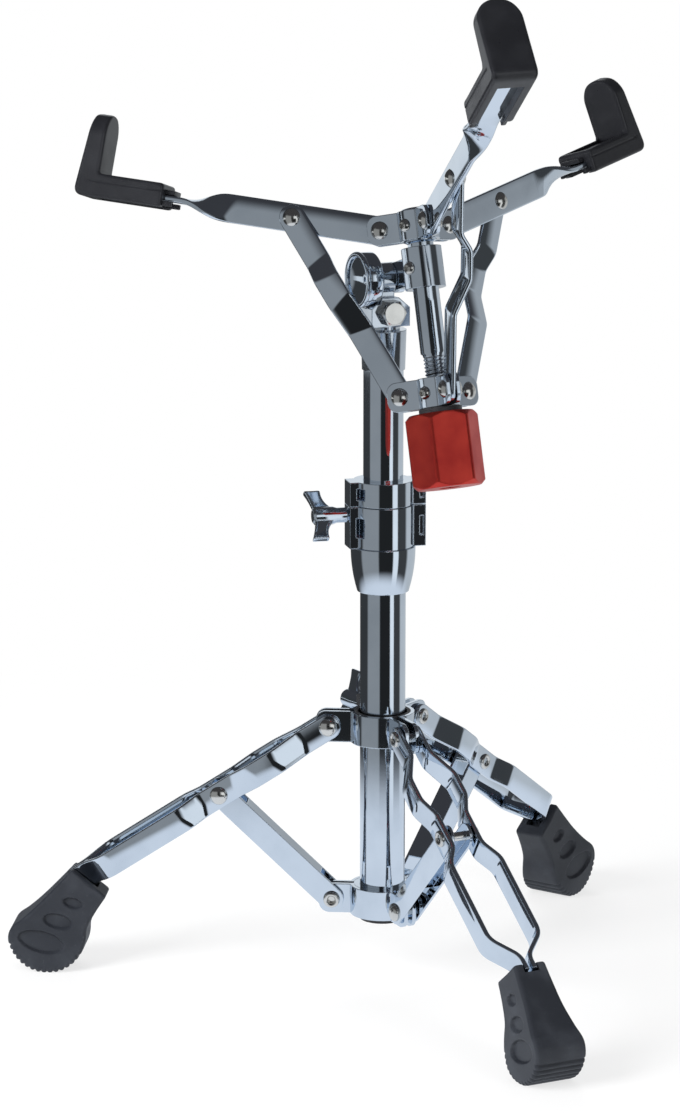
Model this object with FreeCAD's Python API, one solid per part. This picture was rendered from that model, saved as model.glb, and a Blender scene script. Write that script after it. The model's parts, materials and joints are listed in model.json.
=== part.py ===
import FreeCAD, Part
import math
import os

V = FreeCAD.Vector

# Snare drum stand, millimetres, +Z up, origin on the floor under the tube's axis.
# The front leg points along -Y; the basket leans back over it about an axis along X.

# Fits and small allowances
run_gap = 0.05
seat_gap = 0.02
side_gap = 0.3
overrun = 1.0

# Tubes
tube_r = 12.7
tube_bore_r = 11.6
tube_bottom = 35.5
tube_top = 266.0
mast_r = 11.1
mast_bore_r = 9.6
mast_bottom = 96.0
mast_top = 362.0
cap_flange_h = 2.0
cap_plug_h = 12.0

# Leg linkage, as radius and height in each leg's own plane
leg_names = ("front", "right", "left")
leg_first_azimuth = -90.0
third_turn = 120.0
sixth_turn = 60.0
full_turn = 360.0
quarter_turn = 90.0
half_turn = 180.0
collar_pivot_r = 30.2
collar_pivot_z = 145.7
mid_pivot_r = 91.7
mid_pivot_z = 105.6
hub_pivot_r = 28.3
hub_pivot_z = 45.3
rivet_r = 2.5
rivet_head_r = 5.2
rivet_head_h = 2.8

# Leg strips: two bowed flat bars to each leg
strip_w = 14.0
strip_t = 2.6
strip_end = 172.0
strip_pivot_y = 5.8
strip_bow_y = 13.6
strip_mid_y = 8.7
strip_wide_y = 15.0
strip_foot_y = 2.4
strip_run_shares = (0.0, 0.1, 0.199, 0.291, 0.36, 0.493, 0.559, 0.869, 0.948, 1.0)

# Braces: pressed channels between hub and legs
brace_half = 6.2
brace_wall = 1.5
brace_depth = 13.5
brace_web_inset = 15.0
open_pivot_gap = 1.9
open_side_gap = 0.8

# Sliding leg collar and fixed bottom hub, each of three pressed plates
collar_r = 17.8
collar_wall = 2.0
collar_h = 17.6
collar_flange_t = 2.2
collar_flange_gap = 2.0
collar_liner_gap = 1.15
collar_screw_up = 8.5
collar_screw_turn = 97.0
collar_post_h = 6.5
collar_post_w = 12.0
hub_r = 18.3
hub_wall = 2.2
hub_h = 16.8
hub_flange_t = 2.2
hub_flange_gap = 1.4
ear_tail = 7.4
ear_corner_share = 0.8

# Rubber feet
foot_bulb_r = 22.4
foot_past_bar = 16.2
foot_flat = 0.6
foot_neck_half = 12.4
foot_neck_t = 18.5
foot_shoulder_t = 22.0
foot_bulb_t = 29.5
foot_shoulder_at = 25.0
foot_full_at = 46.0
foot_flank_turn = 40.0
foot_flank_rise_share = 0.06
foot_brow_r = 10.8
foot_brow_turn = 40.0
foot_brow_end = 110.0
foot_len = 61.0
foot_lean = 51.0
oval_depth = 1.4
oval_long = (28.0, 18.0, 12.5)
oval_short = (12.5, 8.6, 6.4)
oval_at_shares = (0.71, 0.465, 0.243)
oval_turn = 24.0

# Height clamp on the tube
clamp_above_tube = 6.7
clamp_h = 23.4
cup_h = 25.5
clamp_bolt_up = 18.2
clamp_top = tube_top + clamp_above_tube
clamp_bottom = clamp_top - clamp_h
cup_bottom = clamp_bottom - cup_h
clamp_bolt_z = clamp_bottom + clamp_bolt_up
cup_top_r = 18.0
cup_mid_r = 17.2
cup_low_r = 14.4
clamp_r = 17.0
bush_r = 11.55
bush_wall_gap = 0.05
bush_flange_r = 12.6
bush_flange_h = 2.0
bush_len = 46.0
lug_turn = 168.0
lug_reach = 20.4
lug_far_reach = 22.8
lug_w = 13.0
clamp_window_w = 9.0
clamp_window_h = 10.8
clamp_window_depth = 1.6
clamp_window_turn = 191.0
clamp_slot_w = 2.2
clamp_slot_inset = 1.2

# Wing bolts
wing_bolt_r = 3.0
wing_hub_r = 5.0
wing_hub_len = 19.5
wing_span = 33.0
wing_root_w = 12.5
wing_tip_w = 9.8
wing_t = 4.0
wing_flare = 2.8
clamp_wing_tilt = 48.0
collar_wing_tilt = 24.0
collar_screw_r = 3.5

# Memory lock on the mast
lock_h = 13.5
lock_r = 16.7
lock_key_r = 3.0
lock_key_head_r = 4.4
lock_key_head_h = 4.0
lock_lug_reach = 20.0
lock_lug_w = 12.0
lock_lug_turn = lug_turn - quarter_turn
lock_window_h = 6.3

# Tilter on the mast's top
socket_grip = 13.7
socket_h = 22.1
socket_bottom = mast_top - socket_grip
socket_top = socket_bottom + socket_h
socket_top_r = 12.6
socket_low_r = 11.9
head_gap = 2.2
head_cheek_h = 10.4
head_neck_up = 16.1
head_eye_up = 25.9
hex_bolt_up = 8.0
head_bottom = socket_top + head_gap
head_shoulder_z = head_bottom + head_cheek_h
head_neck_z = head_bottom + head_neck_up
tilt_z = head_bottom + head_eye_up
hex_bolt_z = head_bottom + hex_bolt_up
head_waist_r = 9.0
head_half_w = 11.6
head_neck_half = 5.0
head_half_d = 9.0
eye_r = 8.5
eye_half = 4.0
hex_bolt_r = 4.0
hex_bolt_flats = 13.0
hex_bolt_head_h = 5.3
hex_nut_h = 6.5
axle_r = 4.0
knob_r = 15.2
knob_outer_x = 17.0
knob_inner_x = 6.6
knob_rim = 2.2
knob_dish_depth = 2.4
knob_hole_r = 1.4
knob_neck_r = 8.0
knob_relief = 0.6

# Basket frame: its axis leans back about X, and its zero is the arms' pivot plane
basket_y = -41.8
basket_above_tilt = 33.5
basket_z = tilt_z + basket_above_tilt
basket_lean = 16.0
arm_first_turn = -99.0
arm_pivot_r = 20.6
arm_rivet_r = 67.9
arm_rivet_z = 14.2
link_low_r = 20.6
link_low_z = -90.1
rod_r = 7.0
rod_shoulder_r = 8.7
rod_top = 9.2
rod_shoulder_low = -8.6
thread_top = -69.6
thread_r = 6.0
rod_low = -136.0
sleeve_top = -12.0
sleeve_low = -34.0
sleeve_r = 10.9
sleeve_screw_z = -23.0
sleeve_screw_turn = -160.0
lug_plate_t = 6.0
lug_plate_h = 15.0

# Basket hubs: pressed plates with ears for the arms and links
basket_hub_r = 10.8
basket_hub_wall = 2.0
basket_hub_h = 16.0
ear_t = 2.0
ear_gap = 1.75
basket_ear_tail = 6.8
basket_rivet_r = 2.3
basket_rivet_head_r = 4.9
basket_rivet_head_h = 2.7
hub_screw_r = 2.0
hub_screw_head_r = 3.6
hub_screw_head_h = 2.6
hub_screw_key_r = 1.5
slide_gap = 0.25

# Basket arms, links and rubber tips; along an arm from its pivot
arm_w = 15.5
arm_t = 3.0
twist_start = 81.0
twist_end = 112.0
twist_steps = 8
arm_end = 166.0
link_w = 14.0
link_t = 2.5
link_bow = 5.5
bow_start = 29.0
bow_full = 38.0
joggle_start = 54.0
joggle_end = 72.0
link_slot_gap = 3.0
link_end_w = 14.4
tip_w = 24.0
tip_start = 121.0
tip_corner = 172.0
tip_bottom = -5.6
tip_deck = 7.6
tip_upright_base = 158.5
tip_top = 40.5
tip_top_outer = 167.2
tip_top_inner = 158.2
tip_groove_w = 10.0
jaw_len = 5.0
jaw_w = 13.0
jaw_t = 2.8
tip_groove_end = 160.0

# Grip nut and its washer on the thread
washer_r = 11.6
washer_h = 2.6
nut_flats = 35.2
nut_turn = -14.0
nut_len = 40.0
nut_corner_r = 3.0
nut_chamfer = 3.2
nut_chamfer_r = 17.2


def cylinder(radius, start, along):
    return Part.makeCylinder(radius, along.Length, start, along)


def pipe(outer, inner, low, high):
    solid = Part.makeCylinder(outer, high - low, V(0, 0, low))
    bore = Part.makeCylinder(inner, high - low + 2 * overrun, V(0, 0, low - overrun))
    return solid.cut(bore)


def block(low, high):
    size = high - low
    return Part.makeBox(size.x, size.y, size.z, low)


def prism(points, push):
    wire = Part.makePolygon(points + points[:1])
    return Part.Face(wire).extrude(push)


def dome_head(radius, height, seat, outward):
    """A low domed rivet head standing on seat along outward."""
    ball_r = (radius * radius + height * height) / (2 * height)
    direction = V(outward).normalize()
    ball = Part.makeSphere(ball_r, seat - direction * (ball_r - height))
    keep = cylinder(radius, seat, direction * height)
    return ball.common(keep)


def rivet(shaft_r, head_r, head_h, middle, half, axis):
    """A rivet through middle, with a dome on each end at half from the middle."""
    axis = V(axis).normalize()
    shaft = cylinder(shaft_r, middle - axis * half, axis * (2 * half))
    heads = [dome_head(head_r, head_h, middle + axis * half * side, axis * side) for side in (1, -1)]
    return shaft.fuse(heads).removeSplitter()


def hex_prism(flats, start, along):
    corner = flats / math.sqrt(3)
    turns = [math.radians(sixth_turn * i) for i in range(6)]
    ring = [V(corner * math.cos(turn), corner * math.sin(turn), 0) for turn in turns]
    solid = prism(ring, V(0, 0, along.Length))
    turn = FreeCAD.Rotation(V(0, 0, 1), along)
    solid.Placement = FreeCAD.Placement(start, turn)
    return solid


def turned(shape, degrees):
    copy = shape.copy()
    copy.rotate(V(0, 0, 0), V(0, 0, 1), degrees)
    return copy


def in_basket(shape):
    """Stand a shape made about the basket's own axis where the tilted basket is."""
    copy = shape.copy()
    copy.rotate(V(0, 0, 0), V(1, 0, 0), -basket_lean)
    copy.translate(V(0, basket_y, basket_z))
    return copy


def save(name, *shapes):
    solids = [solid for shape in shapes for solid in shape.Solids]
    shape = solids[0] if len(solids) == 1 else Part.makeCompound(solids)
    shape.exportStep("parts/" + name + ".step")
    print(name, len(solids), round(shape.Volume), shape.isValid())


# Shared pressed plate with a curved band and two ears
def eared_plate(outer_r, wall, low, height, flange_t, gap, pivot_r, tail, hole_r):
    pie = Part.makeCylinder(outer_r, height, V(0, 0, low), V(0, 0, 1), third_turn)
    core = Part.makeCylinder(outer_r - wall, height + 2 * overrun, V(0, 0, low - overrun))
    band = pie.cut(core)
    reach = pivot_r + tail
    inner = outer_r - wall
    middle = low + height / 2
    high = low + height
    ear = block(V(inner, gap, low), V(reach, gap + flange_t, high))
    ends = [edge for edge in ear.Edges if edge.BoundBox.XMin > pivot_r]
    ends = [edge for edge in ends if edge.BoundBox.YLength > flange_t / 2]
    ear = ear.makeFillet(tail * ear_corner_share, ends)
    ear = ear.cut(cylinder(hole_r, V(pivot_r, 0, middle), V(0, reach, 0)))
    slit = block(V(0, -gap - overrun, low - overrun), V(outer_r + overrun, gap, low + height + overrun))
    far_ear = turned(ear.mirror(V(0, 0, 0), V(0, 1, 0)), third_turn)
    far_slit = turned(slit.mirror(V(0, 0, 0), V(0, 1, 0)), third_turn)
    band = band.cut(slit).cut(far_slit)
    void = Part.makeCylinder(inner, height + 2 * overrun, V(0, 0, low - overrun))
    return band.fuse([ear.cut(void), far_ear.cut(void)]).removeSplitter()


# Legs are drawn along +X in their own plane and then turned to their azimuth
def leg_drop():
    return math.degrees(math.atan2(collar_pivot_z - mid_pivot_z, mid_pivot_r - collar_pivot_r))


def leg_span():
    return math.hypot(mid_pivot_r - collar_pivot_r, collar_pivot_z - mid_pivot_z)


def along_leg(shape):
    copy = shape.copy()
    copy.rotate(V(0, 0, 0), V(0, 1, 0), leg_drop())
    copy.translate(V(collar_pivot_r, 0, collar_pivot_z))
    return copy


def strip_path():
    """Where the strip's middle runs, as (distance from the pivot, sideways)."""
    sides = (strip_pivot_y, strip_pivot_y, strip_bow_y, strip_bow_y, strip_mid_y)
    sides += (strip_mid_y, strip_wide_y, strip_wide_y, strip_foot_y, strip_foot_y)
    return [(share * strip_end, side) for share, side in zip(strip_run_shares, sides)]


def rounded_bar(start, end, width, thick):
    """A flat bar with a half-round tail before start and a square end, lying about y = 0."""
    bar = block(V(start, -thick, -width / 2), V(end, thick, width / 2))
    tail = cylinder(width / 2, V(start, -thick, 0), V(0, 2 * thick, 0))
    return bar.fuse(tail).removeSplitter()


def bent_sheet(path, thick, width):
    """A sheet of one thickness that follows a path seen from above."""
    half = thick / 2
    near = [V(s, side - half, -width / 2) for s, side in path]
    far = [V(s, side + half, -width / 2) for s, side in reversed(path)]
    return prism(near + far, V(0, 0, width))


def leg_strip():
    path = strip_path()
    path = [(path[0][0] - strip_w, path[0][1])] + path[1:]
    sheet = bent_sheet(path, strip_t, strip_w)
    sheet = sheet.common(rounded_bar(0, strip_end, strip_w, strip_wide_y + strip_t))
    for at in (0, leg_span()):
        gap = run_gap if at == 0 else seat_gap
        sheet = sheet.cut(cylinder(rivet_r + gap, V(at, 0, 0), V(0, strip_wide_y + strip_t, 0)))
    return along_leg(sheet)


def leg_rivet():
    half = strip_mid_y + strip_t / 2 + seat_gap
    return rivet(rivet_r, rivet_head_r, rivet_head_h, V(mid_pivot_r, 0, mid_pivot_z), half, V(0, 1, 0))


def foot_axis():
    lean = math.radians(foot_lean)
    return V(math.cos(lean), 0, -math.sin(lean))


def foot_centre():
    bar_end_r = collar_pivot_r + strip_end * math.cos(math.radians(leg_drop()))
    return V(bar_end_r + foot_past_bar, 0, foot_bulb_r - foot_flat)


def foot_crown():
    return foot_centre() - foot_axis() * (foot_len - foot_bulb_r)


def foot_half(along):
    """Half the foot's thickness at a distance from its crown."""
    marks = ((0, foot_neck_t), (foot_shoulder_at, foot_shoulder_t), (foot_full_at, foot_bulb_t))
    for (near, thin), (far, thick) in zip(marks, marks[1:]):
        if along <= far:
            return (thin + (thick - thin) * (along - near) / (far - near)) / 2
    return foot_bulb_t / 2


def on_circle(centre, radius, degrees):
    turn = math.radians(degrees)
    return centre[0] + radius * math.cos(turn), centre[1] + radius * math.sin(turn)


def flank_bend(start, start_rise, end, end_rise):
    """Where the straight lines that leave the two ends of a flank meet."""
    along = (start[1] - end[1] + end_rise * end[0] - start_rise * start[0]) / (end_rise - start_rise)
    return along, start[1] + start_rise * (along - start[0])


def foot_blank():
    """The foot's side outline: a neck with hollow flanks, a round sole and a tighter brow above it."""
    axis = foot_axis()
    across = V(-axis.z, 0, axis.x)
    crown = foot_crown()

    def spot(point):
        return crown + axis * point[0] + across * point[1]

    bulb = (foot_len - foot_bulb_r, 0)
    brow = on_circle(bulb, foot_bulb_r - foot_brow_r, foot_brow_turn)
    brow_middle = on_circle(brow, foot_brow_r, (foot_brow_turn + foot_brow_end) / 2)
    brow_low = on_circle(bulb, foot_bulb_r, foot_brow_turn)
    sole_turn = -quarter_turn - foot_flank_turn
    ends = ((1, on_circle(brow, foot_brow_r, foot_brow_end), foot_brow_end),
            (-1, on_circle(bulb, foot_bulb_r, sole_turn), sole_turn))
    flanks = []
    for side, end, turn in ends:
        corner = (0, side * foot_neck_half)
        bend = flank_bend(corner, side * foot_flank_rise_share, end, -1 / math.tan(math.radians(turn)))
        curve = Part.BezierCurve()
        curve.setPoles([spot(corner), spot(bend), spot(end)])
        flanks.append(curve.toShape())
    top = Part.LineSegment(spot((0, -foot_neck_half)), spot((0, foot_neck_half))).toShape()
    upper = Part.Arc(spot(ends[0][1]), spot(brow_middle), spot(brow_low)).toShape()
    sole = Part.Arc(spot(brow_low), spot((foot_len, 0)), spot(ends[1][1])).toShape()
    face = Part.Face(Part.Wire([top, flanks[0], upper, sole, flanks[1]]))
    blank = face.extrude(V(0, foot_bulb_t, 0))
    blank.translate(V(0, -foot_bulb_t / 2, 0))
    return blank


def foot_taper():
    """The foot's front outline, thinner at the neck than at the bulb."""
    axis = foot_axis()
    across = V(-axis.z, 0, axis.x)
    crown = foot_crown()
    reach = across * (foot_bulb_r + overrun)
    points = []
    for along in (0, foot_shoulder_at, foot_full_at, foot_len + overrun):
        points.append(crown + axis * along - reach + V(0, foot_half(along), 0))
    points += [V(p.x, -p.y, p.z) for p in reversed(points)]
    return prism(points, reach * 2)


def foot_ovals():
    """Shallow oval hollows in both faces, growing towards the bulb."""
    axis = foot_axis()
    across = V(-axis.z, 0, axis.x)
    crown = foot_crown()
    turn = math.radians(oval_turn)
    long_way = across * math.cos(turn) + axis * math.sin(turn)
    short_way = axis * math.cos(turn) - across * math.sin(turn)
    cuts = []
    for share, long, short in zip(oval_at_shares, oval_long, oval_short):
        at = crown + axis * (foot_len * share)
        half = foot_half(foot_len * share)
        ring = Part.Ellipse(V(0, 0, 0), long / 2, short / 2).toShape()
        for side in (1, -1):
            tool = Part.Face(Part.Wire(ring)).extrude(V(0, 0, foot_bulb_t))
            frame = FreeCAD.Rotation(long_way, short_way, V(0, side, 0), "XZY")
            tool.Placement = FreeCAD.Placement(at + V(0, side * (half - oval_depth), 0), frame)
            cuts.append(tool)
    return cuts


def foot():
    body = foot_blank().common(foot_taper())
    floor = block(V(0, -foot_bulb_t, -foot_bulb_r), V(2 * (collar_pivot_r + strip_end), foot_bulb_t, 0))
    pocket = bent_sheet(strip_path(), strip_t + 2 * seat_gap, strip_w + 2 * seat_gap)
    pocket = along_leg(pocket)
    pockets = [pocket, pocket.mirror(V(0, 0, 0), V(0, 1, 0))]
    return body.cut(floor).cut(pockets + foot_ovals())


def brace_slope():
    return math.degrees(math.atan2(mid_pivot_z - hub_pivot_z, mid_pivot_r - hub_pivot_r))


def brace(is_front):
    """A channel from the hub's ear to the leg's mid rivet, its web on the upper side."""
    span = math.hypot(mid_pivot_r - hub_pivot_r, mid_pivot_z - hub_pivot_z)
    half = brace_depth / 2
    wall = rounded_bar(0, span, brace_depth, brace_half)
    wall = wall.fuse(cylinder(half, V(span, -brace_half, 0), V(0, 2 * brace_half, 0)))
    inner = brace_half - brace_wall
    reach = V(span + brace_depth, inner, half - brace_wall)
    channel = wall.cut(block(V(-brace_depth, -inner, -brace_depth), reach))
    for low, high in ((-brace_depth, brace_web_inset), (span - brace_web_inset, span + brace_depth)):
        channel = channel.cut(block(V(low, -inner, -brace_depth), V(high, inner, brace_depth)))
    hub_gap = run_gap if is_front else open_pivot_gap
    for at, gap in ((0, hub_gap), (span, run_gap)):
        hole = cylinder(rivet_r + gap, V(at, -2 * brace_half, 0), V(0, 4 * brace_half, 0))
        channel = channel.cut(hole)
    channel.rotate(V(0, 0, 0), V(0, 1, 0), -brace_slope())
    channel.translate(V(hub_pivot_r, 0, hub_pivot_z))
    return channel


def make_legs():
    strip = leg_strip()
    other_strip = strip.mirror(V(0, 0, 0), V(0, 1, 0))
    for i, name in enumerate(leg_names):
        azimuth = leg_first_azimuth + i * third_turn
        save("leg_" + name + "_bar_left", turned(strip, azimuth))
        save("leg_" + name + "_bar_right", turned(other_strip, azimuth))
        save("leg_" + name + "_rivet", turned(leg_rivet(), azimuth))
        save("foot_" + name, turned(foot(), azimuth))
        save("brace_" + name, turned(brace(i == 0), azimuth))


def three(shape):
    return [turned(shape, leg_first_azimuth + i * third_turn) for i in range(len(leg_names))]


def wing(length_in, reach, shaft_r):
    """A wing bolt along +X: threaded shank, round hub and two flared ears."""
    shank = cylinder(shaft_r, V(length_in, 0, 0), V(reach - length_in, 0, 0))
    hub = cylinder(wing_hub_r, V(reach, 0, 0), V(wing_hub_len, 0, 0))
    points = []
    for side in (1, -1):
        root = [(reach + wing_hub_len - wing_root_w, wing_hub_r / 2), (reach + wing_hub_len, wing_hub_r / 2)]
        tip_x = reach + wing_hub_len + wing_flare
        tip = [(tip_x, wing_span / 2), (tip_x - wing_tip_w, wing_span / 2)]
        points.append([V(x, -wing_t / 2, side * z) for x, z in (root[0], tip[1], tip[0], root[1])])
    ears = [prism(outline, V(0, wing_t, 0)) for outline in points]
    ears = [ear.makeFillet(wing_t / 3, ear.Edges) for ear in ears]
    return shank.fuse([hub] + ears).removeSplitter()


def collar_post(top):
    """A short post on the collar's liner that carries the wing screw clear of the plates."""
    half = collar_post_w / 2
    post = block(V(tube_r, -half, top + seat_gap), V(collar_r, half, top + collar_post_h))
    liner_r = collar_r - collar_wall - seat_gap
    root = block(V(tube_r, -half, top), V(liner_r, half, top + overrun))
    root = root.common(Part.makeCylinder(liner_r, overrun, V(0, 0, top)))
    bore = Part.makeCylinder(tube_r + collar_liner_gap, collar_post_h + overrun, V(0, 0, top))
    return post.fuse(root).cut(bore)


def make_collar():
    low = collar_pivot_z - collar_h / 2
    plate = eared_plate(collar_r, collar_wall, low, collar_h, collar_flange_t, collar_flange_gap,
                        collar_pivot_r, ear_tail, rivet_r + seat_gap)
    liner = pipe(collar_r - collar_wall - seat_gap, tube_r + collar_liner_gap, low, low + collar_h)
    screw_z = collar_pivot_z + collar_screw_up
    liner = liner.fuse(turned(collar_post(low + collar_h), collar_screw_turn)).removeSplitter()
    hole = cylinder(collar_screw_r + run_gap, V(0, 0, screw_z), V(2 * collar_r, 0, 0))
    hole = turned(hole, collar_screw_turn)
    plates = [piece.cut(hole) for piece in three(plate)]
    save("collar_plates", *plates)
    save("collar_liner", liner.cut(hole))
    half = strip_pivot_y + strip_t / 2 + run_gap
    pin = rivet(rivet_r, rivet_head_r, rivet_head_h, V(collar_pivot_r, 0, collar_pivot_z), half, V(0, 1, 0))
    save("collar_rivets", *three(pin))
    screw = wing(tube_r + collar_liner_gap, collar_r + side_gap, collar_screw_r)
    screw.rotate(V(0, 0, 0), V(1, 0, 0), collar_wing_tilt)
    screw.translate(V(0, 0, screw_z))
    save("collar_wing_screw", turned(screw, collar_screw_turn))


def make_hub():
    low = hub_pivot_z - hub_h / 2
    plate = eared_plate(hub_r, hub_wall, low, hub_h, hub_flange_t, hub_flange_gap,
                        hub_pivot_r, ear_tail, rivet_r + seat_gap)
    save("hub_plates", *three(plate))
    core = pipe(hub_r - hub_wall - seat_gap, tube_r + seat_gap, low, low + hub_h)
    save("hub_core", core)
    pins = []
    for i in range(len(leg_names)):
        half = brace_half + (run_gap if i == 0 else open_side_gap)
        pin = rivet(rivet_r, rivet_head_r, rivet_head_h, V(hub_pivot_r, 0, hub_pivot_z), half, V(0, 1, 0))
        pins.append(turned(pin, leg_first_azimuth + i * third_turn))
    save("hub_rivets", *pins)


def make_tubes():
    save("lower_tube", pipe(tube_r, tube_bore_r, tube_bottom, tube_top))
    cap = Part.makeCylinder(tube_bore_r - seat_gap, cap_plug_h, V(0, 0, tube_bottom))
    cap = cap.fuse(Part.makeCylinder(tube_r, cap_flange_h, V(0, 0, tube_bottom - cap_flange_h)))
    save("tube_end_cap", cap.removeSplitter())
    save("upper_tube", pipe(mast_r, mast_bore_r, mast_bottom, mast_top))


def side_lugs(ring_r, low, high):
    """The lug under the wing bolt and a longer one across from it, over a ring's full height."""
    root = ring_r - clamp_window_depth
    lugs = []
    for turn, reach in ((lug_turn, lug_reach), (lug_turn + half_turn, lug_far_reach)):
        lugs.append(turned(block(V(root, -lug_w / 2, low), V(reach, lug_w / 2, high)), turn))
    return lugs


def windows(ring_r, low, high, tall):
    """A shallow window beside the wing bolt and a narrow slot in the far lug's face."""
    middle = (low + high) / 2
    window = block(V(ring_r - clamp_window_depth, -clamp_window_w / 2, middle - tall / 2),
                   V(ring_r + overrun, clamp_window_w / 2, middle + tall / 2))
    slot_end = lug_far_reach - clamp_slot_inset
    slot = block(V(slot_end - clamp_slot_w, -lug_w / 2 - overrun, middle - tall / 2),
                 V(slot_end, clamp_window_depth - lug_w / 2, middle + tall / 2))
    return [turned(window, clamp_window_turn), turned(slot, lug_turn + half_turn)]


def clamp_cup():
    """A bullet-shaped cup that closes on the tube below the clamp."""
    inner = tube_r + seat_gap
    low = V(cup_low_r, 0, cup_bottom)
    high = V(cup_top_r, 0, clamp_bottom)
    flank = Part.Arc(low, V(cup_mid_r, 0, (cup_bottom + clamp_bottom) / 2), high).toShape()
    rest = Part.makePolygon([high, V(inner, 0, clamp_bottom), V(inner, 0, cup_bottom), low])
    return Part.Face(Part.Wire([flank] + rest.Edges)).revolve(V(0, 0, 0), V(0, 0, 1), full_turn)


def make_clamp():
    save("clamp_cup", clamp_cup())
    ring = pipe(clamp_r, tube_r + seat_gap, clamp_bottom, tube_top)
    lid = pipe(clamp_r, bush_flange_r + seat_gap, tube_top, clamp_top)
    ring = ring.fuse([lid] + side_lugs(clamp_r, clamp_bottom, clamp_top)).removeSplitter()
    hole = cylinder(wing_bolt_r + run_gap, V(0, 0, clamp_bolt_z), V(2 * lug_reach, 0, 0))
    ring = ring.cut([turned(hole, lug_turn)] + windows(clamp_r, clamp_bottom, clamp_top, clamp_window_h))
    save("clamp_body", ring)
    low = tube_top - bush_len
    bush = pipe(bush_r, mast_r + bush_wall_gap, low, tube_top)
    bush = bush.fuse(pipe(bush_flange_r, mast_r + bush_wall_gap, tube_top, tube_top + bush_flange_h))
    save("clamp_bushing", bush.removeSplitter())
    bolt = wing(tube_r + side_gap, lug_reach + side_gap, wing_bolt_r)
    bolt.rotate(V(0, 0, 0), V(1, 0, 0), clamp_wing_tilt)
    bolt.translate(V(0, 0, clamp_bolt_z))
    save("clamp_wing_bolt", turned(bolt, lug_turn))


def make_memory_lock():
    low = clamp_top + side_gap
    high = low + lock_h
    ring = pipe(lock_r, mast_r + run_gap, low, high)
    middle = (low + high) / 2
    half = lock_lug_w / 2
    lug = block(V(lock_r - clamp_window_depth, -half, low), V(lock_lug_reach, half, high))
    ring = ring.fuse([turned(lug, lock_lug_turn)] + side_lugs(lock_r, low, high)).removeSplitter()
    hole = cylinder(lock_key_r + seat_gap, V(mast_r + side_gap, 0, middle), V(lock_lug_reach, 0, 0))
    ring = ring.cut([turned(hole, lock_lug_turn)] + windows(lock_r, low, high, lock_window_h))
    save("memory_lock", ring)
    key = cylinder(lock_key_r, V(mast_r + side_gap, 0, middle), V(lock_lug_reach - mast_r - side_gap, 0, 0))
    head = cylinder(lock_key_head_r, V(lock_lug_reach + seat_gap, 0, middle), V(lock_key_head_h, 0, 0))
    neck = cylinder(lock_key_r, V(lock_lug_reach - side_gap, 0, middle), V(2 * side_gap, 0, 0))
    save("memory_lock_key_bolt", turned(key.fuse([head, neck]).removeSplitter(), lock_lug_turn))


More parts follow.
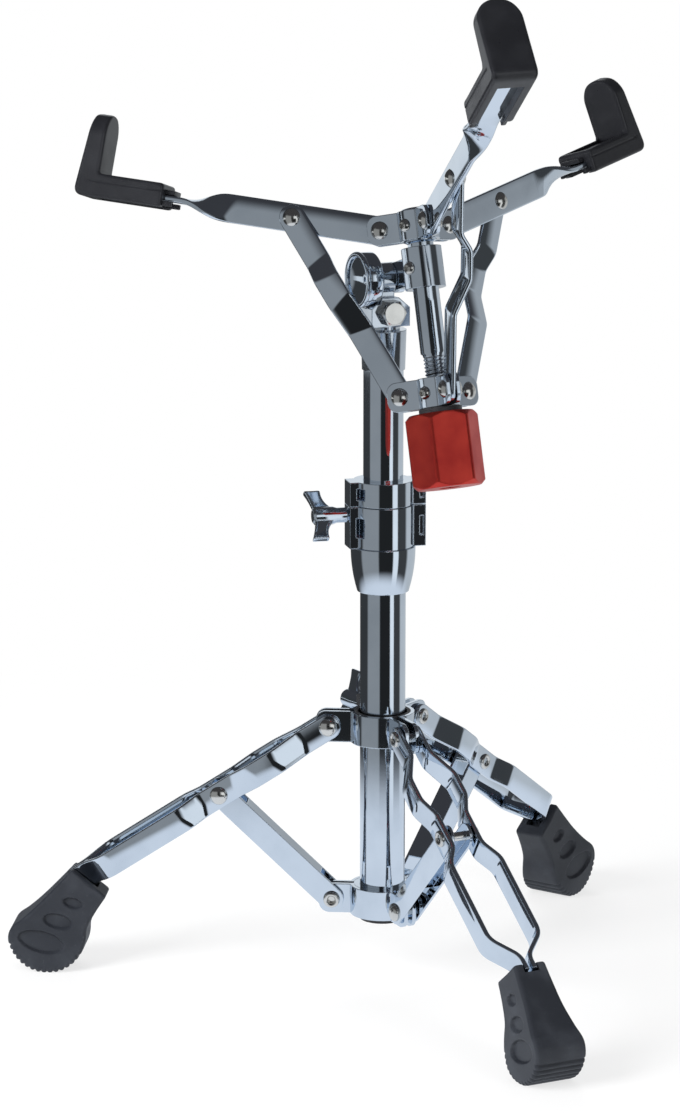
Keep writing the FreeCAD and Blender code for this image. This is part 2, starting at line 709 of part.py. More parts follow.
def make_tilter():
    skirt = Part.makeCone(socket_low_r, socket_top_r, socket_top - socket_bottom, V(0, 0, socket_bottom))
    seat_h = mast_top - socket_bottom + seat_gap
    skirt = skirt.cut(Part.makeCylinder(mast_r + seat_gap, seat_h, V(0, 0, socket_bottom)))
    save("tilter_socket", skirt)
    neck = Part.makeCylinder(head_waist_r, head_bottom - socket_top, V(0, 0, socket_top))
    outline = [(-head_half_w, head_bottom), (head_half_w, head_bottom), (head_half_w, head_shoulder_z),
               (head_neck_half, head_neck_z), (head_neck_half, tilt_z), (-head_neck_half, tilt_z),
               (-head_neck_half, head_neck_z), (-head_half_w, head_shoulder_z)]
    cheek = prism([V(x, -head_half_d, z) for x, z in outline], V(0, 2 * head_half_d, 0))
    side_cut = block(V(-head_half_w, -2 * head_half_d, head_neck_z), V(head_half_w, -head_neck_half, tilt_z))
    back_cut = side_cut.mirror(V(0, 0, 0), V(0, 1, 0))
    eye = cylinder(eye_r, V(-eye_half, 0, tilt_z), V(2 * eye_half, 0, 0))
    flank = block(V(eye_half, -head_half_d, head_neck_z), V(head_half_w, head_half_d, tilt_z + eye_r))
    flank_left = flank.mirror(V(0, 0, 0), V(1, 0, 0))
    head = cheek.cut([side_cut, back_cut, flank, flank_left]).fuse([eye, neck]).removeSplitter()
    bolt_hole = cylinder(hex_bolt_r + seat_gap, V(0, -2 * head_half_d, hex_bolt_z), V(0, 4 * head_half_d, 0))
    axle_hole = cylinder(axle_r + seat_gap, V(-head_half_w, 0, tilt_z), V(2 * head_half_w, 0, 0))
    relief_x = knob_inner_x - knob_relief
    relief_far = 2 * head_half_w
    relief = cylinder(knob_r + knob_relief, V(-relief_far, 0, tilt_z), V(relief_far - relief_x, 0, 0))
    save("tilter_head", head.cut([bolt_hole, axle_hole, relief]))
    face_y = head_half_d
    shank = cylinder(hex_bolt_r, V(0, -face_y, hex_bolt_z), V(0, 2 * face_y + hex_nut_h + hex_bolt_r / 2, 0))
    bolt_start = V(0, -face_y - hex_bolt_head_h, hex_bolt_z)
    bolt_head = hex_prism(hex_bolt_flats, bolt_start, V(0, hex_bolt_head_h, 0))
    nut = hex_prism(hex_bolt_flats, V(0, face_y, hex_bolt_z), V(0, hex_nut_h, 0))
    nut = nut.cut(cylinder(hex_bolt_r + seat_gap, V(0, 0, hex_bolt_z), V(0, 4 * face_y, 0)))
    save("tilter_hex_bolt", shank.fuse(bolt_head).removeSplitter(), nut)
    lug_far = eye_half + side_gap + lug_plate_t
    axle_near = knob_inner_x + knob_dish_depth
    axle = cylinder(axle_r, V(-axle_near, 0, tilt_z), V(axle_near + lug_far, 0, 0))
    head = hex_prism(hex_bolt_flats, V(lug_far + side_gap, 0, tilt_z), V(hex_bolt_head_h, 0, 0))
    stem = cylinder(axle_r, V(lug_far, 0, tilt_z), V(2 * side_gap, 0, 0))
    save("tilt_axle", axle.fuse([head, stem]).removeSplitter())
    disc = cylinder(knob_r, V(-knob_outer_x, 0, tilt_z), V(knob_outer_x - knob_inner_x, 0, 0))
    dish_start = V(-knob_outer_x - overrun, 0, tilt_z)
    dish = cylinder(knob_r - knob_rim, dish_start, V(knob_dish_depth + overrun, 0, 0))
    boss = cylinder(knob_neck_r, V(-knob_inner_x, 0, tilt_z), V(knob_inner_x - eye_half - side_gap, 0, 0))
    pin_hole = cylinder(knob_hole_r, V(-knob_outer_x, 0, tilt_z), V(knob_outer_x, 0, 0))
    bore_start = V(-axle_near - side_gap, 0, tilt_z)
    bore = cylinder(axle_r + run_gap, bore_start, V(knob_outer_x, 0, 0))
    save("tilt_knob", disc.fuse(boss).cut([dish, pin_hole, bore]).removeSplitter())


def tilt_axis_in_basket():
    """The tilt axis as (y, z) in the basket's own frame."""
    lean = math.radians(basket_lean)
    dy = -basket_y
    dz = tilt_z - basket_z
    return dy * math.cos(lean) - dz * math.sin(lean), dy * math.sin(lean) + dz * math.cos(lean)


def button_screw(seat_r, grip, height, turn):
    """A socket button screw that points at the axis, its head seated at seat_r."""
    shank = cylinder(hub_screw_r, V(seat_r - grip, 0, height), V(grip, 0, 0))
    head = dome_head(hub_screw_head_r, hub_screw_head_h, V(seat_r, 0, height), V(1, 0, 0))
    key_start = V(seat_r + hub_screw_head_h / 2, 0, height)
    key = hex_prism(2 * hub_screw_key_r, key_start, V(hub_screw_head_h, 0, 0))
    return turned(shank.fuse(head).cut(key).removeSplitter(), turn)


def basket_pins(pivot_r, height):
    half = ear_gap + ear_t + seat_gap
    middle = V(pivot_r, 0, height)
    pin = rivet(basket_rivet_r, basket_rivet_head_r, basket_rivet_head_h, middle, half, V(0, 1, 0))
    return [turned(pin, arm_first_turn + i * third_turn) for i in range(len(leg_names))]


def basket_plates(pivot_r, height, hole_r):
    low = height - basket_hub_h / 2
    plate = eared_plate(basket_hub_r, basket_hub_wall, low, basket_hub_h, ear_t, ear_gap,
                        pivot_r, basket_ear_tail, hole_r)
    screw_hole = cylinder(hub_screw_r + seat_gap, V(0, 0, height), V(2 * basket_hub_r, 0, 0))
    plate = plate.cut(turned(screw_hole, third_turn / 2))
    return [turned(plate, arm_first_turn + i * third_turn) for i in range(len(leg_names))]


def hub_screws(height):
    turns = [arm_first_turn + third_turn / 2 + i * third_turn for i in range(len(leg_names))]
    return [button_screw(basket_hub_r + seat_gap, basket_hub_wall, height, turn) for turn in turns]


def make_basket_rod():
    rod = Part.makeCylinder(rod_r, rod_top - thread_top, V(0, 0, thread_top))
    shoulder = Part.makeCylinder(rod_shoulder_r, rod_top - rod_shoulder_low, V(0, 0, rod_shoulder_low))
    thread = Part.makeCylinder(thread_r, thread_top - rod_low, V(0, 0, rod_low))
    save("basket_rod", in_basket(rod.fuse([shoulder, thread]).removeSplitter()))
    sleeve = Part.makeCylinder(sleeve_r, sleeve_top - sleeve_low, V(0, 0, sleeve_low))
    axis_y, axis_z = tilt_axis_in_basket()
    near = eye_half + side_gap
    plate_low = axis_z - lug_plate_h / 2
    plate = block(V(near, 0, plate_low), V(near + lug_plate_t, axis_y, plate_low + lug_plate_h))
    boss = cylinder(eye_r, V(near, axis_y, axis_z), V(lug_plate_t, 0, 0))
    bore = Part.makeCylinder(rod_r + seat_gap, 2 * basket_z, V(0, 0, -basket_z))
    axle_hole = cylinder(axle_r + run_gap, V(0, axis_y, axis_z), V(2 * head_half_w, 0, 0))
    screw_hole = cylinder(hub_screw_r + seat_gap, V(0, 0, sleeve_screw_z), V(2 * sleeve_r, 0, 0))
    bracket = sleeve.fuse([plate, boss]).cut([bore, axle_hole, turned(screw_hole, sleeve_screw_turn)])
    save("tilt_bracket", in_basket(bracket.removeSplitter()))
    screw = button_screw(sleeve_r + seat_gap, sleeve_r - rod_r - side_gap, sleeve_screw_z, sleeve_screw_turn)
    save("bracket_screw", in_basket(screw))


def make_hubs():
    hole_r = basket_rivet_r + seat_gap
    save("top_hub_plates", *[in_basket(p) for p in basket_plates(arm_pivot_r, 0, hole_r)])
    save("top_hub_rivets", *[in_basket(p) for p in basket_pins(arm_pivot_r, 0)])
    save("top_hub_screws", *[in_basket(p) for p in hub_screws(0)])
    save("lower_hub_plates", *[in_basket(p) for p in basket_plates(link_low_r, link_low_z, hole_r)])
    save("lower_hub_rivets", *[in_basket(p) for p in basket_pins(link_low_r, link_low_z)])
    save("lower_hub_screws", *[in_basket(p) for p in hub_screws(link_low_z)])
    low = link_low_z - basket_hub_h / 2
    core = pipe(basket_hub_r - basket_hub_wall - seat_gap, rod_r + slide_gap, low, low + basket_hub_h)
    save("lower_hub_bush", in_basket(core))


def arm_rise():
    return math.degrees(math.atan2(arm_rivet_z, arm_rivet_r - arm_pivot_r))


def arm_span():
    return math.hypot(arm_rivet_z, arm_rivet_r - arm_pivot_r)


def along_arm(shape, turn):
    copy = shape.copy()
    copy.rotate(V(0, 0, 0), V(0, 1, 0), -arm_rise())
    copy.translate(V(arm_pivot_r, 0, 0))
    return in_basket(turned(copy, turn))


def twisted_run():
    """The stretch where the upright strip turns a quarter to lie flat."""
    rings = []
    for step in range(twist_steps + 1):
        share = step / twist_steps
        turn = math.radians(quarter_turn * share)
        at = twist_start + (twist_end - twist_start) * share
        up = V(0, -math.sin(turn), math.cos(turn)) * (arm_w / 2)
        side = V(0, math.cos(turn), math.sin(turn)) * (arm_t / 2)
        middle = V(at, 0, 0)
        corners = [middle + up + side, middle + up - side, middle - up - side, middle - up + side]
        rings.append(Part.makePolygon(corners + corners[:1]))
    return Part.makeLoft(rings, True, True)


def arm_flat(gap):
    half_w = arm_w / 2 + gap
    half_t = arm_t / 2 + gap
    return block(V(twist_end, -half_w, -half_t), V(arm_end + gap, half_w, half_t))


def arm_strip():
    upright = rounded_bar(0, twist_start, arm_w, arm_t / 2)
    pivot = cylinder(basket_rivet_r + run_gap, V(0, -arm_t, 0), V(0, 2 * arm_t, 0))
    hinge = cylinder(basket_rivet_r + seat_gap, V(arm_span(), -arm_t, 0), V(0, 2 * arm_t, 0))
    return upright.cut([pivot, hinge]).fuse([twisted_run(), arm_flat(0)]).removeSplitter()


def arm_rivet():
    far = arm_t / 2 + side_gap + link_t + run_gap
    near = arm_t / 2 + seat_gap
    at = arm_span()
    shaft = cylinder(basket_rivet_r, V(at, -near, 0), V(0, near + far, 0))
    heads = [dome_head(basket_rivet_head_r, basket_rivet_head_h, V(at, far, 0), V(0, 1, 0)),
             dome_head(basket_rivet_head_r, basket_rivet_head_h, V(at, -near, 0), V(0, -1, 0))]
    return shaft.fuse(heads).removeSplitter()


def rubber_tip():
    """An L of rubber that grips the drum's hoop, with a groove under its foot."""
    outline = [V(tip_start, 0, tip_bottom), V(tip_corner, 0, tip_bottom), V(tip_top_outer, 0, tip_top),
               V(tip_top_inner, 0, tip_top), V(tip_upright_base, 0, tip_deck), V(tip_start, 0, tip_deck)]
    body = prism(outline, V(0, tip_w, 0))
    body.translate(V(0, -tip_w / 2, 0))
    crown = cylinder(tip_w / 2, V(tip_start, 0, tip_top - tip_w / 2), V(tip_corner, 0, 0))
    lower = block(V(tip_start, -tip_w / 2, tip_bottom), V(2 * tip_corner, tip_w / 2, tip_top - tip_w / 2))
    body = body.common(crown.fuse(lower))
    groove = block(V(tip_start - overrun, -tip_groove_w / 2, tip_bottom - overrun),
                   V(tip_groove_end, tip_groove_w / 2, 0))
    body = body.cut([arm_flat(seat_gap), groove])
    near = arm_t / 2 + side_gap
    jaw = block(V(tip_start - jaw_len, -jaw_w / 2, near), V(tip_start + jaw_len, jaw_w / 2, near + jaw_t))
    under = jaw.mirror(V(0, 0, 0), V(0, 0, 1))
    return body.fuse([jaw, under]).removeSplitter()


def link_slope():
    return math.degrees(math.atan2(arm_rivet_z - link_low_z, arm_rivet_r - link_low_r))


def link_strip():
    """A joggled strip from the arm's side to the middle of the lower hub's ear."""
    span = math.hypot(arm_rivet_r - link_low_r, arm_rivet_z - link_low_z)
    side = arm_t / 2 + side_gap + link_t / 2
    path = [(-link_w, side), (bow_start, side), (bow_full, side + link_bow), (joggle_start, side + link_bow),
            (joggle_end, 0), (span + link_end_w, 0)]
    sheet = bent_sheet(path, link_t, link_end_w)
    deep = side + link_bow + link_t
    outline = rounded_bar(0, span, link_w, deep)
    end = cylinder(link_end_w / 2, V(span, -deep, 0), V(0, 2 * deep, 0))
    sheet = sheet.common(outline.fuse(end))
    top_hole = cylinder(basket_rivet_r + run_gap, V(0, -link_w, 0), V(0, 2 * link_w, 0))
    low_hole = cylinder(basket_rivet_r + link_slot_gap, V(span, -link_w, 0), V(0, 2 * link_w, 0))
    return sheet.cut([top_hole, low_hole])


def make_arms():
    strip = arm_strip()
    pin = arm_rivet()
    tip = rubber_tip()
    link = link_strip()
    link.rotate(V(0, 0, 0), V(0, 1, 0), 2 * quarter_turn - link_slope())
    link.translate(V(arm_rivet_r, 0, arm_rivet_z))
    for i, name in enumerate(leg_names):
        turn = arm_first_turn + i * third_turn
        save("arm_" + name, along_arm(strip, turn))
        save("arm_" + name + "_rivet", along_arm(pin, turn))
        save("arm_" + name + "_rubber_tip", along_arm(tip, turn))
        save("link_" + name, in_basket(turned(link, turn)))


def make_nut():
    top = link_low_z - basket_hub_h / 2 - side_gap
    washer = pipe(washer_r, thread_r + seat_gap, top - washer_h, top)
    save("nut_washer", in_basket(washer))
    high = top - washer_h - side_gap
    low = high - nut_len
    body = turned(hex_prism(nut_flats, V(0, 0, low), V(0, 0, nut_len)), nut_turn)
    upright = [e for e in body.Edges if e.BoundBox.ZLength > nut_len / 2]
    body = body.makeFillet(nut_corner_r, upright)
    corner = nut_flats / math.sqrt(3)
    profile = [V(0, 0, low), V(nut_chamfer_r, 0, low), V(corner, 0, low + nut_chamfer),
               V(corner, 0, high - nut_chamfer), V(nut_chamfer_r, 0, high), V(0, 0, high)]
    spool = Part.Face(Part.makePolygon(profile + profile[:1])).revolve(V(0, 0, 0), V(0, 0, 1), full_turn)
    bore = Part.makeCylinder(thread_r + run_gap, nut_len + 2 * overrun, V(0, 0, low - overrun))
    save("grip_nut", in_basket(body.common(spool).cut(bore)))


os.makedirs("parts", exist_ok=True)
make_tubes()
make_hub()
make_collar()
make_legs()
make_clamp()
make_memory_lock()
make_tilter()
make_basket_rod()
make_hubs()
make_arms()
make_nut()
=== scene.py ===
import json
import math

import bmesh
import bpy
import numpy as np
from mathutils import Matrix, Vector


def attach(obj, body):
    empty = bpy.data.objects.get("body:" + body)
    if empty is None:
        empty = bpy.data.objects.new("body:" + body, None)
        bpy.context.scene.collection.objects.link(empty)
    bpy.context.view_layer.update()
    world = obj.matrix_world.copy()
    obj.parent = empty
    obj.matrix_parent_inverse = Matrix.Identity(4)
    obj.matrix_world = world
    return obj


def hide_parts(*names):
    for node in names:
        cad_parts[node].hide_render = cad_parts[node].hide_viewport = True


# Snare drum stand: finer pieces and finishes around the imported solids.
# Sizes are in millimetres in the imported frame, and MM turns them into metres.
MM = 0.001

# Fineness of the meshes: steps round bends and turned pieces, and rings that crowd towards a rim
SMOOTH_ANGLE = 38.0
MERGE_GAP = 0.01
LATHE_STEPS = 64
SMALL_LATHE_STEPS = 40
CORNER_STEPS = 3
CORNER_SHARE = 0.95
BEND_STEPS = 7
BEND_SHARE = 0.48
ROUND_STEPS = 8
END_START_SHARE = 0.35
SPINE_STEP = 0.8
RING_CROWDING = 1.4
THINNEST = 0.05

# Leg linkage, with pivots as (distance from the tube's axis, height)
LEGS = ("front", "right", "left")
LEG_FIRST_TURN = -90.0
THIRD_TURN = 120.0
COLLAR_PIVOT = (30.2, 145.7)
MID_PIVOT = (91.7, 105.6)
HUB_PIVOT = (28.3, 45.3)

# Leg bars: half distances between a pair, at shares of the run from the collar to the foot
BAR_W = 14.0
BAR_T = 2.6
BAR_END = 172.0
BAR_PIVOT_SIDE = 5.8
BAR_BOW_SIDE = 13.6
BAR_MID_SIDE = 8.7
BAR_WIDE_SIDE = 15.0
BAR_FOOT_SIDE = 2.4
BAR_RUN_SHARES = (0.1, 0.199, 0.291, 0.36, 0.493, 0.559, 0.869, 0.948, 1.0)
BAR_BEND_R = 12.0
SHEET_EDGE = 0.7

# Rubber feet, along a foot from its crown
FOOT_BULB_R = 22.4
FOOT_PAST_BAR = 16.2
FOOT_FLAT = 0.6
FOOT_NECK_HALF = 12.4
FOOT_NECK_T = 18.5
FOOT_SHOULDER_T = 22.0
FOOT_BULB_T = 29.5
FOOT_SHOULDER_AT = 25.0
FOOT_FULL_AT = 46.0
FOOT_FLANK_TURN = 40.0
FOOT_FLANK_RISE = 0.06
FOOT_BROW_R = 10.8
FOOT_BROW_TURN = 40.0
FOOT_BROW_END = 110.0
FOOT_LEN = 61.0
FOOT_LEAN = 51.0
FOOT_EDGE = 2.2
FOOT_RIBS = 15
FOOT_RIB_DEPTH = 1.0
FOOT_RIB_SPAN = 140.0
FOOT_RIB_MIDDLE = -30.0
OVAL_LONG = (28.0, 18.0, 12.5)
OVAL_SHORT = (12.5, 8.6, 6.4)
OVAL_AT_SHARES = (0.71, 0.465, 0.243)
OVAL_TURN = 24.0
OVAL_DEPTH = 1.7
OVAL_WALL = 0.9
FOOT_MOUTH_W = 9.0
FOOT_MOUTH_DEPTH = 5.0
FOOT_MOUTH_UP = 3.9
FOOT_BLEND = (-4.0, -2.0, 0.0, 2.0, 4.0)
FOOT_NECK_STEPS = 40
FOOT_FLANK_STEPS = 60
FOOT_BROW_STEPS = 60
FOOT_SOLE_STEPS = 200
FOOT_SPACING = 0.45
FOOT_EASING = 10
FOOT_RINGS = 34
FOOT_BAND = 16

# Basket arms and links, in the basket's leaning frame
BASKET_Y = -41.8
BASKET_Z = 432.0
BASKET_LEAN = 16.0
ARM_FIRST_TURN = -99.0
ARM_PIVOT_R = 20.6
ARM_RIVET = (67.9, 14.2)
LINK_LOW = (20.6, -90.1)
ARM_W = 15.5
ARM_T = 3.0
ARM_END = 166.0
TWIST_START = 81.0
TWIST_END = 112.0
TWIST_RUN_OUT = 1.0
TWIST_STEPS = 24
ARM_PLAIN_STEPS = 6
LINK_W = 14.0
LINK_T = 2.5
LINK_SIDE = 3.05
LINK_BOW = 5.5
LINK_BOW_RUN = (29.0, 38.0)
LINK_JOGGLE = (54.0, 72.0)
LINK_BEND_R = 8.0

# Rubber tips, along an arm from its pivot
TIP_W = 24.0
TIP_START = 121.0
TIP_CORNER = 172.0
TIP_BOTTOM = -5.6
TIP_DECK = 7.6
TIP_UPRIGHT = 158.5
TIP_TOP = 40.5
TIP_TOP_OUTER = 167.2
TIP_TOP_INNER = 158.2
TIP_EDGE = 2.0
TIP_ROUNDS = (1.5, 5.0, 1.2, 1.2, 1.0, 2.0)
TIP_POCKET_IN = 2.8
TIP_POCKET_DEPTH = 1.8
TIP_SEAM_Z = 3.2
TIP_SEAM_W = 0.5
TIP_SEAM_DEPTH = 0.45
TIP_GROOVE_W = 14.0
TIP_GROOVE_END = 160.0
TIP_GROOVE_TOP = ARM_T / 4
TIP_TAB_LEN = 5.0
TIP_TAB_W = 13.0
TIP_TAB_T = 2.8
TIP_TAB_GAP = 0.3
TIP_TAB_EDGE = 0.6
TIP_TAB_CORNER = 0.8
TIP_TAB_FLAT_SHARE = 0.8
TIP_LIP_W = 9.6
TIP_LINE_STEPS = 30
TIP_SPACING = 0.6
TIP_EASING = 4
TIP_RINGS = 18
TIP_BAND = 14

# Basket rod with its thread, down from the arms' pivots
ROD_R = 7.0
ROD_SHOULDER_R = 8.7
ROD_TOP = 9.2
ROD_SHOULDER_LOW = -8.6
THREAD_TOP = -69.6
THREAD_R = 6.0
ROD_LOW = -136.0
THREAD_PITCH = 2.0
THREAD_DEPTH = 0.95
THREAD_LEVELS = 8
THREAD_FADE = 10
THREAD_SMOOTH_ANGLE = 60.0
ROD_CHAMFER = 0.9
ROD_STEPS = 48

# Leg rivets, with half the length between their heads
RIVET_R = 2.5
RIVET_HEAD_R = 5.2
RIVET_HEAD_H = 2.8
RIVET_RING_R = 4.6
RIVET_RING_H = 1.5
RIVET_HOLE_R = 2.0
RIVET_HOLE_DEPTH = 1.5
MID_RIVET_HALF = 10.02
COLLAR_RIVET_HALF = 7.15
HUB_RIVET_HALVES = (6.25, 7.0, 7.0)
RIVET_STEPS = 10

# Tilt knob, along the tilt axis from the middle
TILT_Z = 398.5
KNOB_R = 15.2
KNOB_OUTER = 17.0
KNOB_INNER = 6.6
KNOB_RIM = 2.6
KNOB_BOWL = 6.0
KNOB_EDGE = 0.5
KNOB_RING_R = 2.6
KNOB_HOLE_R = 1.4
KNOB_BOSS_R = 8.0
KNOB_BOSS_LOW = 4.2
KNOB_BORE_R = 4.15
KNOB_BORE_END = 9.4
KNOB_EDGE_STEPS = 6
KNOB_RIM_STEPS = 16
KNOB_BOWL_STEPS = 12
KNOB_SMOOTH_ANGLE = 50.0

# Hex bolt and nut of the tilter
HEX_Z = 380.6
HEX_FLATS = 13.0
HEX_SEAT = 9.0
HEX_HEAD_H = 5.3
HEX_NUT_H = 6.5
HEX_SHANK_R = 4.0
HEX_CHAMFER = 30.0
HEX_CHAMFER_H = 0.95
HEX_EDGE = 0.6
HEX_STEPS = 72
HEX_CHAMFER_STEPS = 5
HEX_SMOOTH_ANGLE = 25.0

# Wing bolts
WING_HUB_R = 5.0
WING_HUB_LEN = 19.5
WING_SPAN = 33.0
WING_FLARE = 2.8
WING_EAR_W = 9.8
WING_ROOT = 7.0
WING_WAIST = 3.4
WING_T = 4.0
WING_EDGE = 1.2
WING_SPINE_SHARE = 0.75
WING_NECK_SHARE = 0.84
WING_CROWN_SHARE = 0.7
WING_CENTRE_SHARE = 0.1
WING_ARC_STEPS = 24
WING_END_STEPS = 12
WING_SPACING = 0.4
WING_EASING = 8
WING_RINGS = 10
WING_BAND = 6
COLLAR_SCREW_Z = COLLAR_PIVOT[1] + 8.5

# Each wing bolt: node, body, seat and shank end out from the tube's axis, shank radius, tilt, turn, height
WING_BOLTS = (("clamp_wing_bolt", "clamp_bolt", 20.7, 13.0, 3.0, 48.0, 168.0, 267.5),
              ("collar_wing_screw", "collar_screw", 18.1, 13.85, 3.5, 24.0, 97.0, COLLAR_SCREW_Z))

# Camera of the photograph, in millimetres
CAMERA_AT = (-885.3, -1807.8, 680.3)
CAMERA_LOOK = (0.4193, 0.8826, -0.2124)
CAMERA_REACH = 50000.0
SENSOR_H = 24.0

# The photograph's focal length and height, in pixels
CAMERA_FOCAL = 3708.88
PHOTO_H = 1113.0

# Finishes: noises as (scale, detail), and patches of a noise as (scale, detail, low end, high end)
PLATE_CLOUDS = (38.0, 3.0, 0.35, 0.75)
PLATE_PEEL = (420.0, 2.0)
PLATE_PEEL_DEPTH = 0.05
PLATE_SCUFFS = (900.0, 4.0, 0.62, 0.8)
RUBBER_BLOOM = (55.0, 5.0, 0.4, 0.8)
RUBBER_BLOOM_SHARE = 0.6
RUBBER_BLOOM_ROUGH = 0.12
RUBBER_SPECKS = (700.0, 2.0, 0.66, 0.78)
RUBBER_SPECK_SHARE = 0.4
RUBBER_SPECK_GLOSS = 0.05
RUBBER_GRIT = (1600.0, 3.0)
RUBBER_GRIT_DEPTH = 0.12
RUBBER_SHEEN = 0.42
# Painted shade on rubber: its colour turns near-black in creases, recesses and between parts, where ambient
# occlusion within this reach finds nearby surfaces
CREASE_SHADE_REACH = 3.0
CREASE_SHADE_SAMPLES = 8
CREASE_SHADE_STRETCH = (0.35, 0.95)
CREASE_SHADE_COLOUR = (0.003, 0.003, 0.004)
DYE_CLOUDS = (60.0, 4.0, 0.3, 0.75)
DYE_CLOUD_ROUGH = 0.08
DYE_BLAST = (2400.0, 2.0)
DYE_BLAST_ROUGH = 0.06
DYE_BLAST_BUMP = 0.25
DYE_BLAST_DEPTH = 0.04
DYE_METAL = 0.96
DYE_ROUGH = 0.32
NYLON_HAZE = (120.0, 4.0, 0.4, 0.8)
NYLON_HAZE_ROUGH = 0.15
NYLON_GRIT = (1500.0, 2.0)
NYLON_GRIT_BUMP = 0.2
NYLON_GRIT_DEPTH = 0.06
NYLON_ROUGH = 0.45
BEVEL_SAMPLES = 6

# Room that the plating mirrors: panels as (compass degrees, brightness)
PANELS_EAST = ((0.0, 0.62), (58.0, 0.62))
PANELS_WEST = ((166.0, 0.33), (226.0, 0.33), (231.0, 0.02), (279.0, 0.02), (282.0, 1.0), (299.0, 1.0),
               (302.0, 0.06), (335.0, 0.06), (345.0, 0.62))
PANELS = PANELS_EAST + ((70.0, 0.05), (158.0, 0.05)) + PANELS_WEST
FAR_PANELS = PANELS_EAST + ((64.0, 0.85), (152.0, 0.85)) + PANELS_WEST
SKY_PANELS = ((0.0, 0.44), (44.0, 0.44), (50.0, 0.85), (80.0, 0.85), (90.0, 0.05), (158.0, 0.05),
              (166.0, 0.33), (226.0, 0.33), (231.0, 0.02), (248.0, 0.02), (262.0, 0.95), (290.0, 0.95),
              (302.0, 0.06), (335.0, 0.06), (345.0, 0.44))
PANEL_TINT = (0.92, 0.965, 1.0)
CEILING = (0.05, 0.05, 0.055)
AMBIENT = (0.97, 0.98, 1.0)
AMBIENT_STRENGTH = 0.42
WHITE = (1.0, 1.0, 1.0)

# Floor, in metres: where its mirrored white ends, where its panels change, where its shadow fades
FLOOR_REACH = 9.0
FLOOR_PAINT = (0.9, 0.9, 0.9)
FLOOR_MIRRORED = (0.78, 0.83, 0.9)
SWEEP_RANGE = (0.3, 0.52)
PANELS_RANGE = (2.05, 2.3)
SHADOW_RANGE = (0.3, 0.75)
GLOW_NEAR_SHARE = 0.7
GLOW_FAR_SHARE = 1.0

# Heights of the sky, as shares of straight up, between the panels and the ceiling
SKY_SHARES = (0.3, 0.5)

# Lamps, in metres and watts: name, place, width and height, power
LAMP_TARGET = (0.0, 0.0, 0.3)
LAMPS = (("key_softbox", (-1.8, -0.3, 1.0), (0.9, 1.3), 58.0),
         ("fill_softbox", (0.4, -1.8, 0.9), (0.6, 1.5), 12.0),
         ("back_softbox", (0.5, 1.6, 1.3), (1.2, 0.8), 14.0))

# Sockets of a colour mix, which has one set for each kind of value
MIX_SHARE = 0
MIX_FIRST = 6
MIX_SECOND = 7
MIX_COLOUR = 2

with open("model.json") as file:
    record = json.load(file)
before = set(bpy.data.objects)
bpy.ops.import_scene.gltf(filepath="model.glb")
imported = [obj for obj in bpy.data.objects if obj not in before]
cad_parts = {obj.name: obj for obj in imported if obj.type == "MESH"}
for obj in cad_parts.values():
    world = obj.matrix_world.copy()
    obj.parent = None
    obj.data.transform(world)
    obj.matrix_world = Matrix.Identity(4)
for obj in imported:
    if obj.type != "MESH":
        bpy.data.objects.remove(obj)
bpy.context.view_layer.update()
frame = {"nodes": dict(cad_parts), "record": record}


# Shader maths: a wire is a socket that can be used in an expression
class Wire:
    def __init__(self, recipe, socket):
        self.recipe = recipe
        self.socket = socket

    def math(self, operation, first, second):
        return self.recipe.node("ShaderNodeMath", {"operation": operation}, {0: first, 1: second})

    def __add__(self, other):
        return self.math("ADD", self, other)

    def __sub__(self, other):
        return self.math("SUBTRACT", self, other)

    def __rsub__(self, other):
        return self.math("SUBTRACT", other, self)

    def __mul__(self, other):
        return self.math("MULTIPLY", self, other)

    __radd__ = __add__
    __rmul__ = __mul__


class Recipe:
    """A material, world or floor shader that is written as expressions."""

    def __init__(self, tree):
        self.tree = tree
        self.tree.nodes.clear()

    def node(self, kind, settings, sockets, output=0):
        made = self.tree.nodes.new(kind)
        for key, value in settings.items():
            if key == "stops":
                self.set_stops(made.color_ramp, value)
            else:
                setattr(made, key, value)
        for key, value in sockets.items():
            if isinstance(value, Wire):
                self.tree.links.new(value.socket, made.inputs[key])
            else:
                made.inputs[key].default_value = value
        return Wire(self, made.outputs[output]) if made.outputs else None

    @staticmethod
    def set_stops(ramp, stops):
        while len(ramp.elements) < len(stops):
            ramp.elements.new(1.0)
        for element, (at, colour) in zip(ramp.elements, stops):
            element.position = at
            element.color = colour

    def noise(self, scale, detail):
        where = self.node("ShaderNodeTexCoord", {}, {}, "Object")
        return self.node("ShaderNodeTexNoise", {}, {"Vector": where, "Scale": scale, "Detail": detail})

    def patches(self, scale, detail, low, high):
        return self.ramp(self.noise(scale, detail), low, high)

    def mix(self, share, first, second):
        return self.node("ShaderNodeMix", {"data_type": "RGBA"},
                         {MIX_SHARE: share, MIX_FIRST: first, MIX_SECOND: second}, MIX_COLOUR)

    def blend(self, share, first, second):
        return self.node("ShaderNodeMixShader", {}, {0: share, 1: first, 2: second})

    def ramp(self, value, low, high):
        return self.node("ShaderNodeMapRange", {"interpolation_type": "SMOOTHSTEP"},
                         {"Value": value, "From Min": low, "From Max": high})


def rgba(colour):
    return (colour[0], colour[1], colour[2], 1.0)


def new_material(name):
    material = bpy.data.materials.new(name)
    material.use_nodes = True
    return material, Recipe(material.node_tree)


def finish_material(material, recipe, sockets):
    surface = recipe.node("ShaderNodeBsdfPrincipled", {}, sockets)
    recipe.node("ShaderNodeOutputMaterial", {}, {"Surface": surface})
    return material


def rounded_edges(recipe, radius):
    return recipe.node("ShaderNodeBevel", {"samples": BEVEL_SAMPLES}, {"Radius": radius * MM})


def bumped(recipe, height, strength, depth, normal):
    return recipe.node("ShaderNodeBump", {}, {
        "Height": height, "Strength": strength, "Distance": depth * MM, "Normal": normal})


